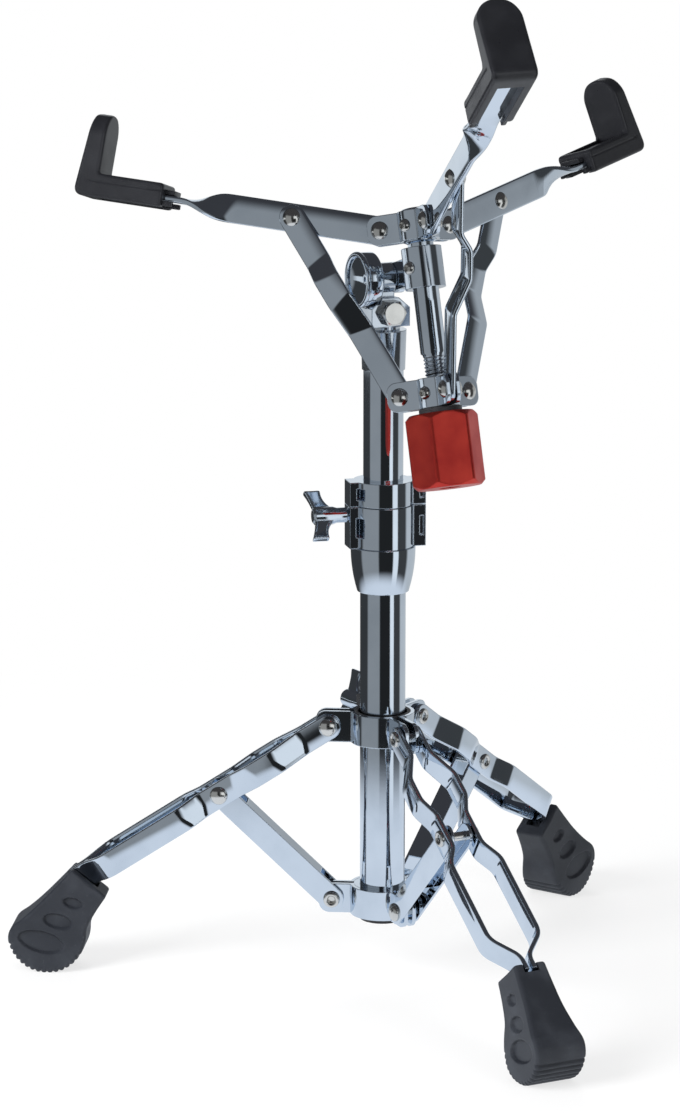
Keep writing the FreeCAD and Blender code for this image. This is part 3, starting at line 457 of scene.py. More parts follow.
# Finishes
def plated(name, tint, shade, rough, smear, edge, grain):
    """Bright plating: faint cloudy smears, a breath of orange peel, softened edges."""
    material, recipe = new_material(name)
    cloud = recipe.patches(*PLATE_CLOUDS)
    peel = recipe.noise(*PLATE_PEEL)
    scuffs = recipe.patches(*PLATE_SCUFFS)
    colour = recipe.mix(cloud, rgba(tint), rgba(shade))
    normal = bumped(recipe, peel, grain, PLATE_PEEL_DEPTH, rounded_edges(recipe, edge))
    return finish_material(material, recipe, {
        "Base Color": colour, "Metallic": 1.0, "Roughness": rough + cloud * smear + scuffs * smear,
        "Normal": normal})


def rubber(name, colour, dusty, rough, edge, grain):
    """Moulded rubber: fine grain, a dusty bloom, paler specks, and painted shade that darkens its creases
    and recesses.
    """
    material, recipe = new_material(name)
    bloom = recipe.patches(*RUBBER_BLOOM)
    grit = recipe.noise(*RUBBER_GRIT)
    specks = recipe.patches(*RUBBER_SPECKS)
    dust = bloom * RUBBER_BLOOM_SHARE + specks * RUBBER_SPECK_SHARE
    skin_colour = recipe.mix(dust, rgba(colour), rgba(dusty))
    # Painted shade: ambient occlusion darkens the colour towards near-black in creases and recesses
    unshaded_share = recipe.node("ShaderNodeAmbientOcclusion", {"samples": CREASE_SHADE_SAMPLES, "only_local": True},
                             {"Distance": CREASE_SHADE_REACH * MM}, "AO")
    unshaded_places = recipe.ramp(unshaded_share, *CREASE_SHADE_STRETCH)
    normal = bumped(recipe, grit, grain, RUBBER_GRIT_DEPTH, rounded_edges(recipe, edge))
    return finish_material(material, recipe, {
        "Base Color": recipe.mix(unshaded_places, rgba(CREASE_SHADE_COLOUR), skin_colour),
        "Roughness": rough + bloom * RUBBER_BLOOM_ROUGH - specks * RUBBER_SPECK_GLOSS,
        "Normal": normal, "Specular IOR Level": RUBBER_SHEEN})


def anodised(name, colour, deep, edge):
    """Dyed aluminium: satin from fine blasting, a little deeper in cloudy patches."""
    material, recipe = new_material(name)
    cloud = recipe.patches(*DYE_CLOUDS)
    blast = recipe.noise(*DYE_BLAST)
    normal = bumped(recipe, blast, DYE_BLAST_BUMP, DYE_BLAST_DEPTH, rounded_edges(recipe, edge))
    return finish_material(material, recipe, {
        "Base Color": recipe.mix(cloud, rgba(colour), rgba(deep)), "Metallic": DYE_METAL,
        "Roughness": DYE_ROUGH + cloud * DYE_CLOUD_ROUGH + blast * DYE_BLAST_ROUGH, "Normal": normal})


def nylon(name, colour, pale, edge):
    """Moulded nylon: a fine grain, paler and duller in hazy patches."""
    material, recipe = new_material(name)
    haze = recipe.patches(*NYLON_HAZE)
    grit = recipe.noise(*NYLON_GRIT)
    normal = bumped(recipe, grit, NYLON_GRIT_BUMP, NYLON_GRIT_DEPTH, rounded_edges(recipe, edge))
    return finish_material(material, recipe, {
        "Base Color": recipe.mix(haze, rgba(colour), rgba(pale)),
        "Roughness": NYLON_ROUGH + haze * NYLON_HAZE_ROUGH, "Normal": normal})


FINISHES = {
    "chrome": plated("bright_chrome", tint=(0.69, 0.76, 0.84), shade=(0.62, 0.69, 0.77),
                     rough=0.035, smear=0.035, edge=0.7, grain=0.04),
    "cast_chrome": plated("cast_chrome", tint=(0.62, 0.67, 0.73), shade=(0.51, 0.555, 0.61),
                          rough=0.10, smear=0.06, edge=0.9, grain=0.25),
    "bright_fastener": plated("bright_nickel", tint=(0.76, 0.745, 0.71), shade=(0.66, 0.65, 0.62),
                              rough=0.14, smear=0.08, edge=0.35, grain=0.06),
    "foot_rubber": rubber("foot_rubber", colour=(0.019, 0.0215, 0.0275), dusty=(0.056, 0.062, 0.074),
                          rough=0.5, edge=0.5, grain=0.35),
    "tip_rubber": rubber("tip_rubber", colour=(0.012, 0.0125, 0.015), dusty=(0.022, 0.023, 0.027),
                         rough=0.3, edge=0.5, grain=0.12),
    "black_nylon": nylon("black_nylon", colour=(0.018, 0.018, 0.02), pale=(0.04, 0.04, 0.043), edge=0.4),
    "red_anodised": anodised("red_anodised", colour=(0.72, 0.07, 0.05), deep=(0.62, 0.05, 0.042), edge=1.0),
}


# Mesh making
def put(name, data):
    """A new object in the scene."""
    made = bpy.data.objects.new(name, data)
    bpy.context.scene.collection.objects.link(made)
    return made


def smooth(mesh, angle):
    mesh.shade_smooth()
    mesh.set_sharp_from_angle(angle=math.radians(angle))


def piece(name, points, faces, place, slot, body, node, smooth_angle=SMOOTH_ANGLE):
    """Builds a piece from points in millimetres, sets it at place and lets it stand for a node."""
    mesh = bpy.data.meshes.new(name)
    flat = [place @ Vector(p) for p in points]
    mesh.from_pydata([p * MM for p in flat], [], faces)
    work = bmesh.new()
    work.from_mesh(mesh)
    bmesh.ops.remove_doubles(work, verts=work.verts, dist=MERGE_GAP * MM)
    bmesh.ops.recalc_face_normals(work, faces=work.faces)
    work.to_mesh(mesh)
    work.free()
    smooth(mesh, smooth_angle)
    made = put(name, mesh)
    mesh.materials.append(FINISHES[slot])
    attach(made, body)
    if node:
        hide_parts(node)
    return made


def joined(*parts):
    """One list of points and faces from several."""
    points = []
    faces = []
    for some_points, some_faces in parts:
        start = len(points)
        points += [tuple(p) for p in some_points]
        faces += [tuple(i + start for i in face) for face in some_faces]
    return points, faces


def skin(rings):
    """Faces between rings of equal length, open at both ends."""
    count = len(rings[0])
    points = [p for ring in rings for p in ring]
    faces = []
    for level in range(len(rings) - 1):
        for i in range(count):
            near = level * count + i
            far = level * count + (i + 1) % count
            faces.append((near, far, far + count, near + count))
    return points, faces


def loft(rings):
    """A closed skin through rings of equal length, capped at both ends."""
    points, faces = skin(rings)
    count = len(rings[0])
    faces.append(tuple(range(count - 1, -1, -1)))
    faces.append(tuple(range((len(rings) - 1) * count, len(rings) * count)))
    return points, faces


def full_turn(steps):
    return [2 * math.pi * i / steps for i in range(steps)]


def turned_rings(profile, steps):
    turns = full_turn(steps)
    return [[(r * math.cos(t), r * math.sin(t), height) for t in turns] for r, height in profile]


def lathe(profile, steps=LATHE_STEPS):
    """Turns (radius, height) points about Z."""
    return loft(turned_rings(profile, steps))


def section(half_w, half_t, corner):
    """A rounded rectangle as (width, thickness) points."""
    corner = min(corner, half_w * CORNER_SHARE, half_t * CORNER_SHARE)
    points = []
    for quarter, (sw, st) in enumerate(((1, 1), (-1, 1), (-1, -1), (1, -1))):
        for step in range(CORNER_STEPS + 1):
            turn = math.pi / 2 * (quarter + step / CORNER_STEPS)
            points.append((sw * (half_w - corner) + corner * math.cos(turn),
                           st * (half_t - corner) + corner * math.sin(turn)))
    return points


def eased_path(corners, bend_r):
    """A polyline whose corners are bent round with about the given radius."""
    corners = [Vector(c) for c in corners]
    path = [corners[0]]
    for before, at, after in zip(corners, corners[1:], corners[2:]):
        into = at - before
        out = after - at
        turn = into.angle(out)
        reach = min(bend_r * math.tan(turn / 2), into.length * BEND_SHARE, out.length * BEND_SHARE)
        start = at - into.normalized() * reach
        end = at + out.normalized() * reach
        for step in range(BEND_STEPS + 1):
            share = step / BEND_STEPS
            path.append(start * (1 - share) ** 2 + at * 2 * share * (1 - share) + end * share ** 2)
    path.append(corners[-1])
    return path


def rounded(corners, radii):
    """A closed outline whose corners are bent round, each with about its own radius."""
    corners = [Vector(c) for c in corners]
    outline = []
    for i, (at, radius) in enumerate(zip(corners, radii)):
        into = (at - corners[i - 1]).normalized()
        out = (corners[(i + 1) % len(corners)] - at).normalized()
        reach = radius * math.tan(into.angle(out) / 2)
        for step in range(ROUND_STEPS + 1):
            share = step / ROUND_STEPS
            spot = at - into * reach * (1 - share) ** 2 + out * reach * share ** 2
            outline.append(tuple(spot))
    return outline


def round_end(radius):
    """A half-round end as (distance before its middle, half width)."""
    last = ROUND_STEPS + END_START_SHARE
    turns = [math.pi / 2 * (step + END_START_SHARE) / last for step in range(ROUND_STEPS)]
    return [(radius * math.cos(t), radius * math.sin(t)) for t in turns]


def strip(corners, bend_r, width, thick, round_far):
    """A flat bar on edge along X that bends sideways along Y, with half-round ends."""
    path = eased_path(corners, bend_r)
    half = width / 2
    stations = [(path[0] - Vector((before, 0)), w) for before, w in round_end(half)]
    stations += [(p, half) for p in path]
    if round_far:
        stations += [(path[-1] + Vector((before, 0)), w) for before, w in reversed(round_end(half))]
    rings = []
    for i, (at, half_w) in enumerate(stations):
        back = stations[max(i - 1, 0)][0]
        ahead = stations[min(i + 1, len(stations) - 1)][0]
        along = (ahead - back).normalized()
        side = Vector((-along.y, along.x))
        ring = []
        for across, deep in section(half_w, thick / 2, SHEET_EDGE):
            p = at + side * deep
            ring.append((p.x, p.y, across))
        rings.append(ring)
    return loft(rings)


def arc(first, middle, last, steps):
    """Points on the circle through three points, without the last one."""
    (ax, ay), (bx, by), (cx, cy) = first, middle, last
    d = 2 * (ax * (by - cy) + bx * (cy - ay) + cx * (ay - by))
    aa, bb, cc = ax * ax + ay * ay, bx * bx + by * by, cx * cx + cy * cy
    ox = (aa * (by - cy) + bb * (cy - ay) + cc * (ay - by)) / d
    oy = (aa * (cx - bx) + bb * (ax - cx) + cc * (bx - ax)) / d
    radius = math.hypot(ax - ox, ay - oy)
    start = math.atan2(ay - oy, ax - ox)
    swing = (math.atan2(cy - oy, cx - ox) - start) % (2 * math.pi)
    if (math.atan2(by - oy, bx - ox) - start) % (2 * math.pi) > swing:
        swing -= 2 * math.pi
    turns = [start + swing * i / steps for i in range(steps)]
    return [(ox + radius * math.cos(t), oy + radius * math.sin(t)) for t in turns]


def line(first, last, steps):
    return [(first[0] + (last[0] - first[0]) * i / steps, first[1] + (last[1] - first[1]) * i / steps)
            for i in range(steps)]


def even(outline, spacing):
    """The closed outline again, with points at an even spacing."""
    ring = np.array(list(outline) + [outline[0]], float)
    run = np.concatenate(([0], np.cumsum(np.linalg.norm(np.diff(ring, axis=0), axis=1))))
    count = int(run[-1] / spacing)
    marks = np.linspace(0, run[-1], count, endpoint=False)
    return np.stack([np.interp(marks, run, ring[:, k]) for k in (0, 1)], 1)


def eased(outline, rounds):
    """The closed outline with each point drawn towards its neighbours, a number of times."""
    for _ in range(rounds):
        outline = (np.roll(outline, 1, 0) + 2 * outline + np.roll(outline, -1, 0)) / 4
    return outline


def nearest_run(spine, points):
    """For each point, how far along a polyline its closest place lies."""
    best = np.zeros(len(points))
    gap = np.full(len(points), np.inf)
    run = 0
    for a, b in zip(spine, spine[1:]):
        a, b = np.array(a, float), np.array(b, float)
        span = np.linalg.norm(b - a)
        share = np.clip(((points - a) @ (b - a)) / span ** 2, 0, 1)
        d = np.linalg.norm(points - a - share[:, None] * (b - a), axis=1)
        closer = d < gap
        best[closer] = run + share[closer] * span
        gap[closer] = d[closer]
        run += span
    return best


def paired(outline, spine):
    """The outline with its places on the spine, in even steps that both flanks share."""
    knots = np.array(spine, float)
    knot_run = np.concatenate(([0], np.cumsum(np.linalg.norm(np.diff(knots, axis=0), axis=1))))
    cell = knot_run[-1] / round(knot_run[-1] / SPINE_STEP)
    run = nearest_run(spine, outline)
    edge = []
    marks = []
    for i, mark in enumerate(run):
        ahead = (i + 1) % len(run)
        fill = 1 + int(abs(run[ahead] - mark) / cell)
        for k in range(fill):
            edge.append(outline[i] + (outline[ahead] - outline[i]) * k / fill)
            marks.append(mark + (run[ahead] - mark) * k / fill)
    marks = np.round(np.array(marks) / cell) * cell
    return np.array(edge), np.stack([np.interp(marks, knot_run, knots[:, k]) for k in (0, 1)], 1)


def face_levels(outline, spine, half_at, edge, recess, rings):
    """Rings of one face from the outline to the spine, each as its places and their depths."""
    outline, spot = paired(outline, spine)
    reach = np.linalg.norm(outline - spot, axis=1)
    levels = []
    for k in range(rings + 1):
        share = (k / rings) ** RING_CROWDING
        at = outline + (spot - outline) * share
        inset = np.minimum(reach * share, edge)
        drop = edge - np.sqrt(np.maximum(edge ** 2 - (edge - inset) ** 2, 0))
        depth = np.maximum(half_at(at[:, 0], at[:, 1]) - drop, THINNEST) - recess(at[:, 0], at[:, 1])
        levels.append((at, depth))
    return levels


def moulded(outline, spine, half_at, edge, recess, rings, band):
    """A moulded slab: faces across Y at half_at(x, z), rounded rims and shallow recesses.

    The faces run in rings from the outline to the spine, and the rim between them is a plain band.
    """
    levels = face_levels(outline, spine, half_at, edge, recess, rings)
    stack = []
    for at, depth in reversed(levels):
        stack.append([(x, d, z) for (x, z), d in zip(at, depth)])
    rim_at, rim_depth = levels[0]
    for step in range(1, band):
        share = 1 - 2 * step / band
        stack.append([(x, d * share, z) for (x, z), d in zip(rim_at, rim_depth)])
    for at, depth in levels:
        stack.append([(x, -d, z) for (x, z), d in zip(at, depth)])
    return skin(stack)


def box_cutter(low, high, place):
    tool_mesh = bpy.data.meshes.new("cutter")
    work = bmesh.new()
    bmesh.ops.create_cube(work, size=1.0)
    middle = (Vector(low) + Vector(high)) / 2
    size = Vector(high) - Vector(low)
    for vert in work.verts:
        local = Vector((vert.co.x * size.x, vert.co.y * size.y, vert.co.z * size.z)) + middle
        vert.co = (place @ local) * MM
    work.to_mesh(tool_mesh)
    work.free()
    return put("cutter", tool_mesh)


def carve(made, low, high, place):
    """Cuts a box, given in the piece's own millimetres, out of a piece."""
    tool = box_cutter(low, high, place)
    cut = made.modifiers.new("cut", "BOOLEAN")
    cut.object = tool
    cut.operation = "DIFFERENCE"
    cut.solver = "EXACT"
    depsgraph = bpy.context.evaluated_depsgraph_get()
    result = bpy.data.meshes.new_from_object(made.evaluated_get(depsgraph))
    made.modifiers.clear()
    made.data = result
    smooth(result, SMOOTH_ANGLE)
    bpy.data.objects.remove(tool)


# Places
def turn_z(degrees):
    return Matrix.Rotation(math.radians(degrees), 4, "Z")


def shift(x, y, z):
    return Matrix.Translation((x, y, z))


def leg_turn(i):
    return turn_z(LEG_FIRST_TURN + i * THIRD_TURN)


def leg_drop():
    return math.atan2(COLLAR_PIVOT[1] - MID_PIVOT[1], MID_PIVOT[0] - COLLAR_PIVOT[0])


def leg_place(i):
    return leg_turn(i) @ shift(COLLAR_PIVOT[0], 0, COLLAR_PIVOT[1]) @ Matrix.Rotation(leg_drop(), 4, "Y")


def basket_place():
    return shift(0, BASKET_Y, BASKET_Z) @ Matrix.Rotation(math.radians(-BASKET_LEAN), 4, "X")


def arm_turn(i):
    return basket_place() @ turn_z(ARM_FIRST_TURN + i * THIRD_TURN)


def arm_place(i):
    rise = math.atan2(ARM_RIVET[1], ARM_RIVET[0] - ARM_PIVOT_R)
    return arm_turn(i) @ shift(ARM_PIVOT_R, 0, 0) @ Matrix.Rotation(-rise, 4, "Y")


def link_place(i):
    slope = math.atan2(ARM_RIVET[1] - LINK_LOW[1], ARM_RIVET[0] - LINK_LOW[0])
    return arm_turn(i) @ shift(ARM_RIVET[0], 0, ARM_RIVET[1]) @ Matrix.Rotation(math.pi - slope, 4, "Y")


# Legs
def bar_corners():
    sides = (BAR_PIVOT_SIDE, BAR_BOW_SIDE, BAR_BOW_SIDE, BAR_MID_SIDE, BAR_MID_SIDE,
             BAR_WIDE_SIDE, BAR_WIDE_SIDE, BAR_FOOT_SIDE, BAR_FOOT_SIDE)
    path = [(0, BAR_PIVOT_SIDE)]
    return path + [(share * BAR_END, side) for share, side in zip(BAR_RUN_SHARES, sides)]


def make_bars():
    points, faces = strip(bar_corners(), BAR_BEND_R, BAR_W, BAR_T, False)
    for i, name in enumerate(LEGS):
        for side, mirror in (("left", 1), ("right", -1)):
            node = "leg_" + name + "_bar_" + side
            own = [(x, mirror * y, z) for x, y, z in points]
            piece(node + "_bent", own, faces, leg_place(i), "chrome", "leg_" + name, node)


def foot_place(i):
    lean = math.radians(FOOT_LEAN)
    axis = Vector((math.cos(lean), 0, -math.sin(lean)))
    across = Vector((math.sin(lean), 0, math.cos(lean)))
    bar_end = COLLAR_PIVOT[0] + BAR_END * math.cos(leg_drop())
    centre = Vector((bar_end + FOOT_PAST_BAR, 0, FOOT_BULB_R - FOOT_FLAT))
    crown = centre - axis * (FOOT_LEN - FOOT_BULB_R)
    basis = Matrix((axis, (0, 1, 0), across)).transposed().to_4x4()
    return leg_turn(i) @ Matrix.Translation(crown) @ basis


def on_circle(centre, radius, degrees):
    turn = math.radians(degrees)
    return centre[0] + radius * math.cos(turn), centre[1] + radius * math.sin(turn)


def flank(start, start_rise, end, end_rise):
    """A curve that leaves start and reaches end along the given slopes."""
    along = (start[1] - end[1] + end_rise * end[0] - start_rise * start[0]) / (end_rise - start_rise)
    bend = (along, start[1] + start_rise * (along - start[0]))
    points = []
    for step in range(FOOT_FLANK_STEPS):
        share = step / FOOT_FLANK_STEPS
        first, middle, last = (1 - share) ** 2, 2 * share * (1 - share), share ** 2
        points.append(tuple(first * a + middle * b + last * c for a, b, c in zip(start, bend, end)))
    return points


def slope_beside(degrees):
    """The slope of a circle's rim at a turn."""
    return -1 / math.tan(math.radians(degrees))


def foot_outline():
    """A neck with hollow flanks, a round sole and a tighter brow above it."""
    bulb = (FOOT_LEN - FOOT_BULB_R, 0)
    neck_high = (0, FOOT_NECK_HALF)
    neck_low = (0, -FOOT_NECK_HALF)
    brow = on_circle(bulb, FOOT_BULB_R - FOOT_BROW_R, FOOT_BROW_TURN)
    brow_high = on_circle(brow, FOOT_BROW_R, FOOT_BROW_END)
    brow_middle = on_circle(brow, FOOT_BROW_R, (FOOT_BROW_TURN + FOOT_BROW_END) / 2)
    brow_low = on_circle(bulb, FOOT_BULB_R, FOOT_BROW_TURN)
    sole_turn = -90 - FOOT_FLANK_TURN
    sole_end = on_circle(bulb, FOOT_BULB_R, sole_turn)
    upper = flank(neck_high, FOOT_FLANK_RISE, brow_high, slope_beside(FOOT_BROW_END))
    lower = flank(neck_low, -FOOT_FLANK_RISE, sole_end, slope_beside(sole_turn))
    outline = line(neck_low, neck_high, FOOT_NECK_STEPS) + upper
    outline += arc(brow_high, brow_middle, brow_low, FOOT_BROW_STEPS)
    outline += arc(brow_low, (FOOT_LEN, 0), sole_end, FOOT_SOLE_STEPS)
    outline += [sole_end] + list(reversed(lower[1:]))
    return eased(even(outline, FOOT_SPACING), FOOT_EASING)


def ribbed(ring):
    """The foot's outline with ribs across its sole."""
    angle = np.degrees(np.arctan2(ring[:, 1], ring[:, 0] - (FOOT_LEN - FOOT_BULB_R)))
    from_middle = angle - FOOT_RIB_MIDDLE
    wave = 0.5 + 0.5 * np.cos(2 * np.pi * FOOT_RIBS * from_middle / FOOT_RIB_SPAN)
    rib = FOOT_RIB_DEPTH * wave ** 2 * (np.abs(from_middle) < FOOT_RIB_SPAN / 2)
    out = np.stack([np.cos(np.radians(angle)), np.sin(np.radians(angle))], 1)
    return ring - out * rib[:, None]


def foot_half(x, z):
    """Half the thickness, which flares like a bottle between neck and bulb."""
    marks = (0, FOOT_SHOULDER_AT, FOOT_FULL_AT, FOOT_LEN)
    thick = (FOOT_NECK_T, FOOT_SHOULDER_T, FOOT_BULB_T, FOOT_BULB_T)
    blended = sum(np.interp(x + off, marks, thick) for off in FOOT_BLEND) / len(FOOT_BLEND)
    return blended / 2


def foot_recess(x, z):
    """Depth of the oval hollows at a place on the foot's face."""
    depth = np.zeros_like(x)
    turn = math.radians(OVAL_TURN)
    for share, long, short in zip(OVAL_AT_SHARES, OVAL_LONG, OVAL_SHORT):
        along = x - FOOT_LEN * share
        long_way = z * math.cos(turn) + along * math.sin(turn)
        short_way = along * math.cos(turn) - z * math.sin(turn)
        spread = np.sqrt((short_way / (short / 2)) ** 2 + (long_way / (long / 2)) ** 2)
        inside = np.clip((1 - spread) * short / 2 / OVAL_WALL, 0, 1)
        depth = np.maximum(depth, OVAL_DEPTH * inside * inside * (3 - 2 * inside))
    return depth


def floored(points, place):
    """The points again, with none of them under the floor once they are placed."""
    back = place.inverted()
    own = []
    for p in points:
        at = place @ Vector(p)
        at.z = max(at.z, 0)
        own.append(back @ at)
    return own


def make_feet():
    spine = [(FOOT_NECK_HALF / 2, 0), (FOOT_LEN - FOOT_BULB_R, 0)]
    outline = ribbed(foot_outline())
    points, faces = moulded(outline, spine, foot_half, FOOT_EDGE, foot_recess, FOOT_RINGS, FOOT_BAND)
    for i, name in enumerate(LEGS):
        place = foot_place(i)
        node = "foot_" + name
        own = floored(points, place)
        made = piece(node + "_moulded", own, faces, place, "foot_rubber", "leg_" + name, node)
        half_mouth = Vector((FOOT_MOUTH_DEPTH, FOOT_MOUTH_W / 2, BAR_W / 2 + BAR_T))
        up = Vector((0, 0, FOOT_MOUTH_UP))
        carve(made, up - half_mouth, up + half_mouth, place)


# Basket
def arm_stations():
    """Places along an arm as (distance, half width, twist): flat on edge, then a quarter twist."""
    half = ARM_W / 2
    stations = [(-before, w, 0) for before, w in round_end(half)]
    stations += [(TWIST_START * i / ARM_PLAIN_STEPS, half, 0) for i in range(ARM_PLAIN_STEPS)]
    for step in range(TWIST_STEPS + 1):
        share = step / TWIST_STEPS
        turn = math.pi / 2 * share * share * (3 - 2 * share)
        stations.append((TWIST_START + (TWIST_END - TWIST_START) * share, half, turn))
    return stations + [(TWIST_END + TWIST_RUN_OUT, half, math.pi / 2), (ARM_END, half, math.pi / 2)]


def make_arms():
    rings = []
    for at, half_w, turn in arm_stations():
        ring = []
        for across, deep in section(half_w, ARM_T / 2, SHEET_EDGE):
            y = -across * math.sin(turn) + deep * math.cos(turn)
            z = across * math.cos(turn) + deep * math.sin(turn)
            ring.append((at, y, z))
        rings.append(ring)
    points, faces = loft(rings)
    for i, name in enumerate(LEGS):
        node = "arm_" + name
        piece(node + "_twisted", points, faces, arm_place(i), "chrome", node, node)


def make_links():
    span = math.hypot(ARM_RIVET[0] - LINK_LOW[0], ARM_RIVET[1] - LINK_LOW[1])
    bowed = LINK_SIDE + LINK_BOW
    corners = [(0, LINK_SIDE), (LINK_BOW_RUN[0], LINK_SIDE), (LINK_BOW_RUN[1], bowed),
               (LINK_JOGGLE[0], bowed), (LINK_JOGGLE[1], 0), (span, 0)]
    points, faces = strip(corners, LINK_BEND_R, LINK_W, LINK_T, True)
    for i, name in enumerate(LEGS):
        node = "link_" + name
        piece(node + "_bent", points, faces, link_place(i), "chrome", node, node)


def tip_half(x, z):
    """Half the width, which closes in a half circle at the upright's top."""
    shoulder = TIP_TOP - TIP_W / 2
    over = np.clip(z - shoulder, 0, TIP_W / 2)
    return np.sqrt(np.maximum((TIP_W / 2) ** 2 - over ** 2, 0))


def tip_recess(x, z):
    """Depth of the mould seam along the tip's lying part."""
    seam = np.clip(1 - np.abs(z - TIP_SEAM_Z) / TIP_SEAM_W, 0, 1) * (x < TIP_UPRIGHT + TIP_DECK)
    return TIP_SEAM_DEPTH * seam


def slab(low, high):
    """A plain block with softened upright edges, as points and faces."""
    middle = [(a + b) / 2 for a, b in zip(low, high)]
    half = [(b - a) / 2 for a, b in zip(low, high)]
    rings = []
    flat = TIP_TAB_FLAT_SHARE
    for level, inset in ((-1, TIP_TAB_EDGE), (-flat, 0), (flat, 0), (1, TIP_TAB_EDGE)):
        ring = section(half[0] - inset, half[1] - inset, TIP_TAB_CORNER)
        rings.append([(middle[0] + u, middle[1] + v, middle[2] + half[2] * level) for u, v in ring])
    return loft(rings)


def tip_outline():
    corners = [(TIP_START, TIP_BOTTOM), (TIP_CORNER, TIP_BOTTOM), (TIP_TOP_OUTER, TIP_TOP),
               (TIP_TOP_INNER, TIP_TOP), (TIP_UPRIGHT, TIP_DECK), (TIP_START, TIP_DECK)]
    ring = rounded(corners, TIP_ROUNDS)
    outline = []
    for a, b in zip(ring, ring[1:] + ring[:1]):
        outline += line(a, b, TIP_LINE_STEPS)
    return eased(even(outline, TIP_SPACING), TIP_EASING)


def tip_body():
    mid_z = (TIP_BOTTOM + TIP_DECK) / 2
    mid_x = (TIP_TOP_INNER + TIP_CORNER) / 2
    top = (TIP_TOP_OUTER - TIP_DECK / 2, TIP_TOP - TIP_DECK)
    spine = [(TIP_START + TIP_DECK, mid_z), (mid_x, mid_z), top]
    return moulded(tip_outline(), spine, tip_half, TIP_EDGE, tip_recess, TIP_RINGS, TIP_BAND)


def tip_jaws():
    """A tab over the arm and a lip on each side under it, where the arm enters the tip."""
    under = -ARM_T / 2 - TIP_TAB_GAP - TIP_TAB_T
    over = ARM_T / 2 + TIP_TAB_GAP
    half_tab = TIP_TAB_W / 2
    half_groove = TIP_GROOVE_W / 2
    front = TIP_START - TIP_TAB_LEN
    back = TIP_START + TIP_TAB_LEN
    tabs = []
    for low, near, far in ((over, -half_tab, half_tab), (under, half_groove, TIP_LIP_W),
                           (under, -TIP_LIP_W, -half_groove)):
        tabs.append(slab((front, near, low), (back, far, low + TIP_TAB_T)))
    return joined(*tabs)


def carve_tip(made, place):
    """The groove that the arm lies in, and the shallow pocket in the deck."""
    carve(made, (TIP_START - TIP_TAB_LEN, -TIP_GROOVE_W / 2, 2 * TIP_BOTTOM),
          (TIP_GROOVE_END, TIP_GROOVE_W / 2, TIP_GROOVE_TOP), place)
    half_pocket = TIP_W / 2 - TIP_POCKET_IN
    carve(made, (TIP_START + TIP_POCKET_IN, -half_pocket, TIP_DECK - TIP_POCKET_DEPTH),
          (TIP_UPRIGHT, half_pocket, TIP_DECK + TIP_POCKET_DEPTH), place)


def make_tips():
    points, faces = tip_body()
    jaw_points, jaw_faces = tip_jaws()
    for i, name in enumerate(LEGS):
        node = "arm_" + name + "_rubber_tip"
        place = arm_place(i)
        made = piece(node + "_moulded", points, faces, place, "tip_rubber", "arm_" + name, node)
        carve_tip(made, place)
        piece(node + "_jaws", jaw_points, jaw_faces, place, "tip_rubber", "arm_" + name, None)


def thread_ring(level):
    """One ring of the thread, whose depth grows over its first levels."""
    height = THREAD_TOP - level * THREAD_PITCH / THREAD_LEVELS
    fade = min(1.0, level / THREAD_FADE)
    ring = []
    for t in full_turn(ROD_STEPS):
        phase = (height / THREAD_PITCH - t / (2 * math.pi)) % 1.0
        cut = THREAD_DEPTH * fade * abs(2 * phase - 1)
        ring.append(((THREAD_R - cut) * math.cos(t), (THREAD_R - cut) * math.sin(t), height))
    return ring


def make_rod():
    profile = [(ROD_SHOULDER_R - ROD_CHAMFER, ROD_TOP), (ROD_SHOULDER_R, ROD_TOP - ROD_CHAMFER),
               (ROD_SHOULDER_R, ROD_SHOULDER_LOW), (ROD_R, ROD_SHOULDER_LOW - ROD_CHAMFER),
               (ROD_R, THREAD_TOP + ROD_CHAMFER), (THREAD_R, THREAD_TOP)]
    rings = turned_rings(profile, ROD_STEPS)
    levels = int((THREAD_TOP - ROD_LOW) / (THREAD_PITCH / THREAD_LEVELS))
    rings += [thread_ring(level) for level in range(1, levels + 1)]
    points, faces = loft(rings)
    piece("basket_rod_threaded", points, faces, basket_place(), "chrome", "cradle", "basket_rod",
          THREAD_SMOOTH_ANGLE)


# Rivets of the legs
def leg_rivet(pivot, half, i, dome_side):
    """A rivet across a leg: a dome on one end and a rolled ring round a hole on the other."""
    profile = []
    for step in range(1, RIVET_STEPS + 1):
        turn = math.pi / 2 * step / RIVET_STEPS
        profile.append((RIVET_HEAD_R * math.sin(turn), half + RIVET_HEAD_H * math.cos(turn)))
    profile += [(RIVET_R, half), (RIVET_R, -half)]
    roll = (RIVET_RING_R + RIVET_HOLE_R) / 2
    profile += arc((RIVET_RING_R, -half), (roll, -half - RIVET_RING_H), (RIVET_HOLE_R, -half), RIVET_STEPS)
    profile += [(RIVET_HOLE_R, -half), (RIVET_HOLE_R, RIVET_HOLE_DEPTH - half)]
    points, faces = lathe(profile, SMALL_LATHE_STEPS)
    across = Matrix.Rotation(-dome_side * math.pi / 2, 4, "X")
    place = leg_turn(i) @ shift(pivot[0], 0, pivot[1]) @ across
    return [place @ Vector(p) for p in points], faces


def make_leg_rivets():
    for i, name in enumerate(LEGS):
        points, faces = leg_rivet(MID_PIVOT, MID_RIVET_HALF, i, 1)
        node = "leg_" + name + "_rivet"
        piece(node + "_rolled", points, faces, Matrix(), "bright_fastener", "leg_" + name, node)
    collar = [leg_rivet(COLLAR_PIVOT, COLLAR_RIVET_HALF, i, 1) for i in range(len(LEGS))]
    points, faces = joined(*collar)
    piece("collar_rivets_rolled", points, faces, Matrix(), "bright_fastener", "collar", "collar_rivets")
    hub = [leg_rivet(HUB_PIVOT, half, i, -1) for i, half in enumerate(HUB_RIVET_HALVES)]
    points, faces = joined(*hub)
    piece("hub_rivets_rolled", points, faces, Matrix(), "bright_fastener", "base", "hub_rivets")


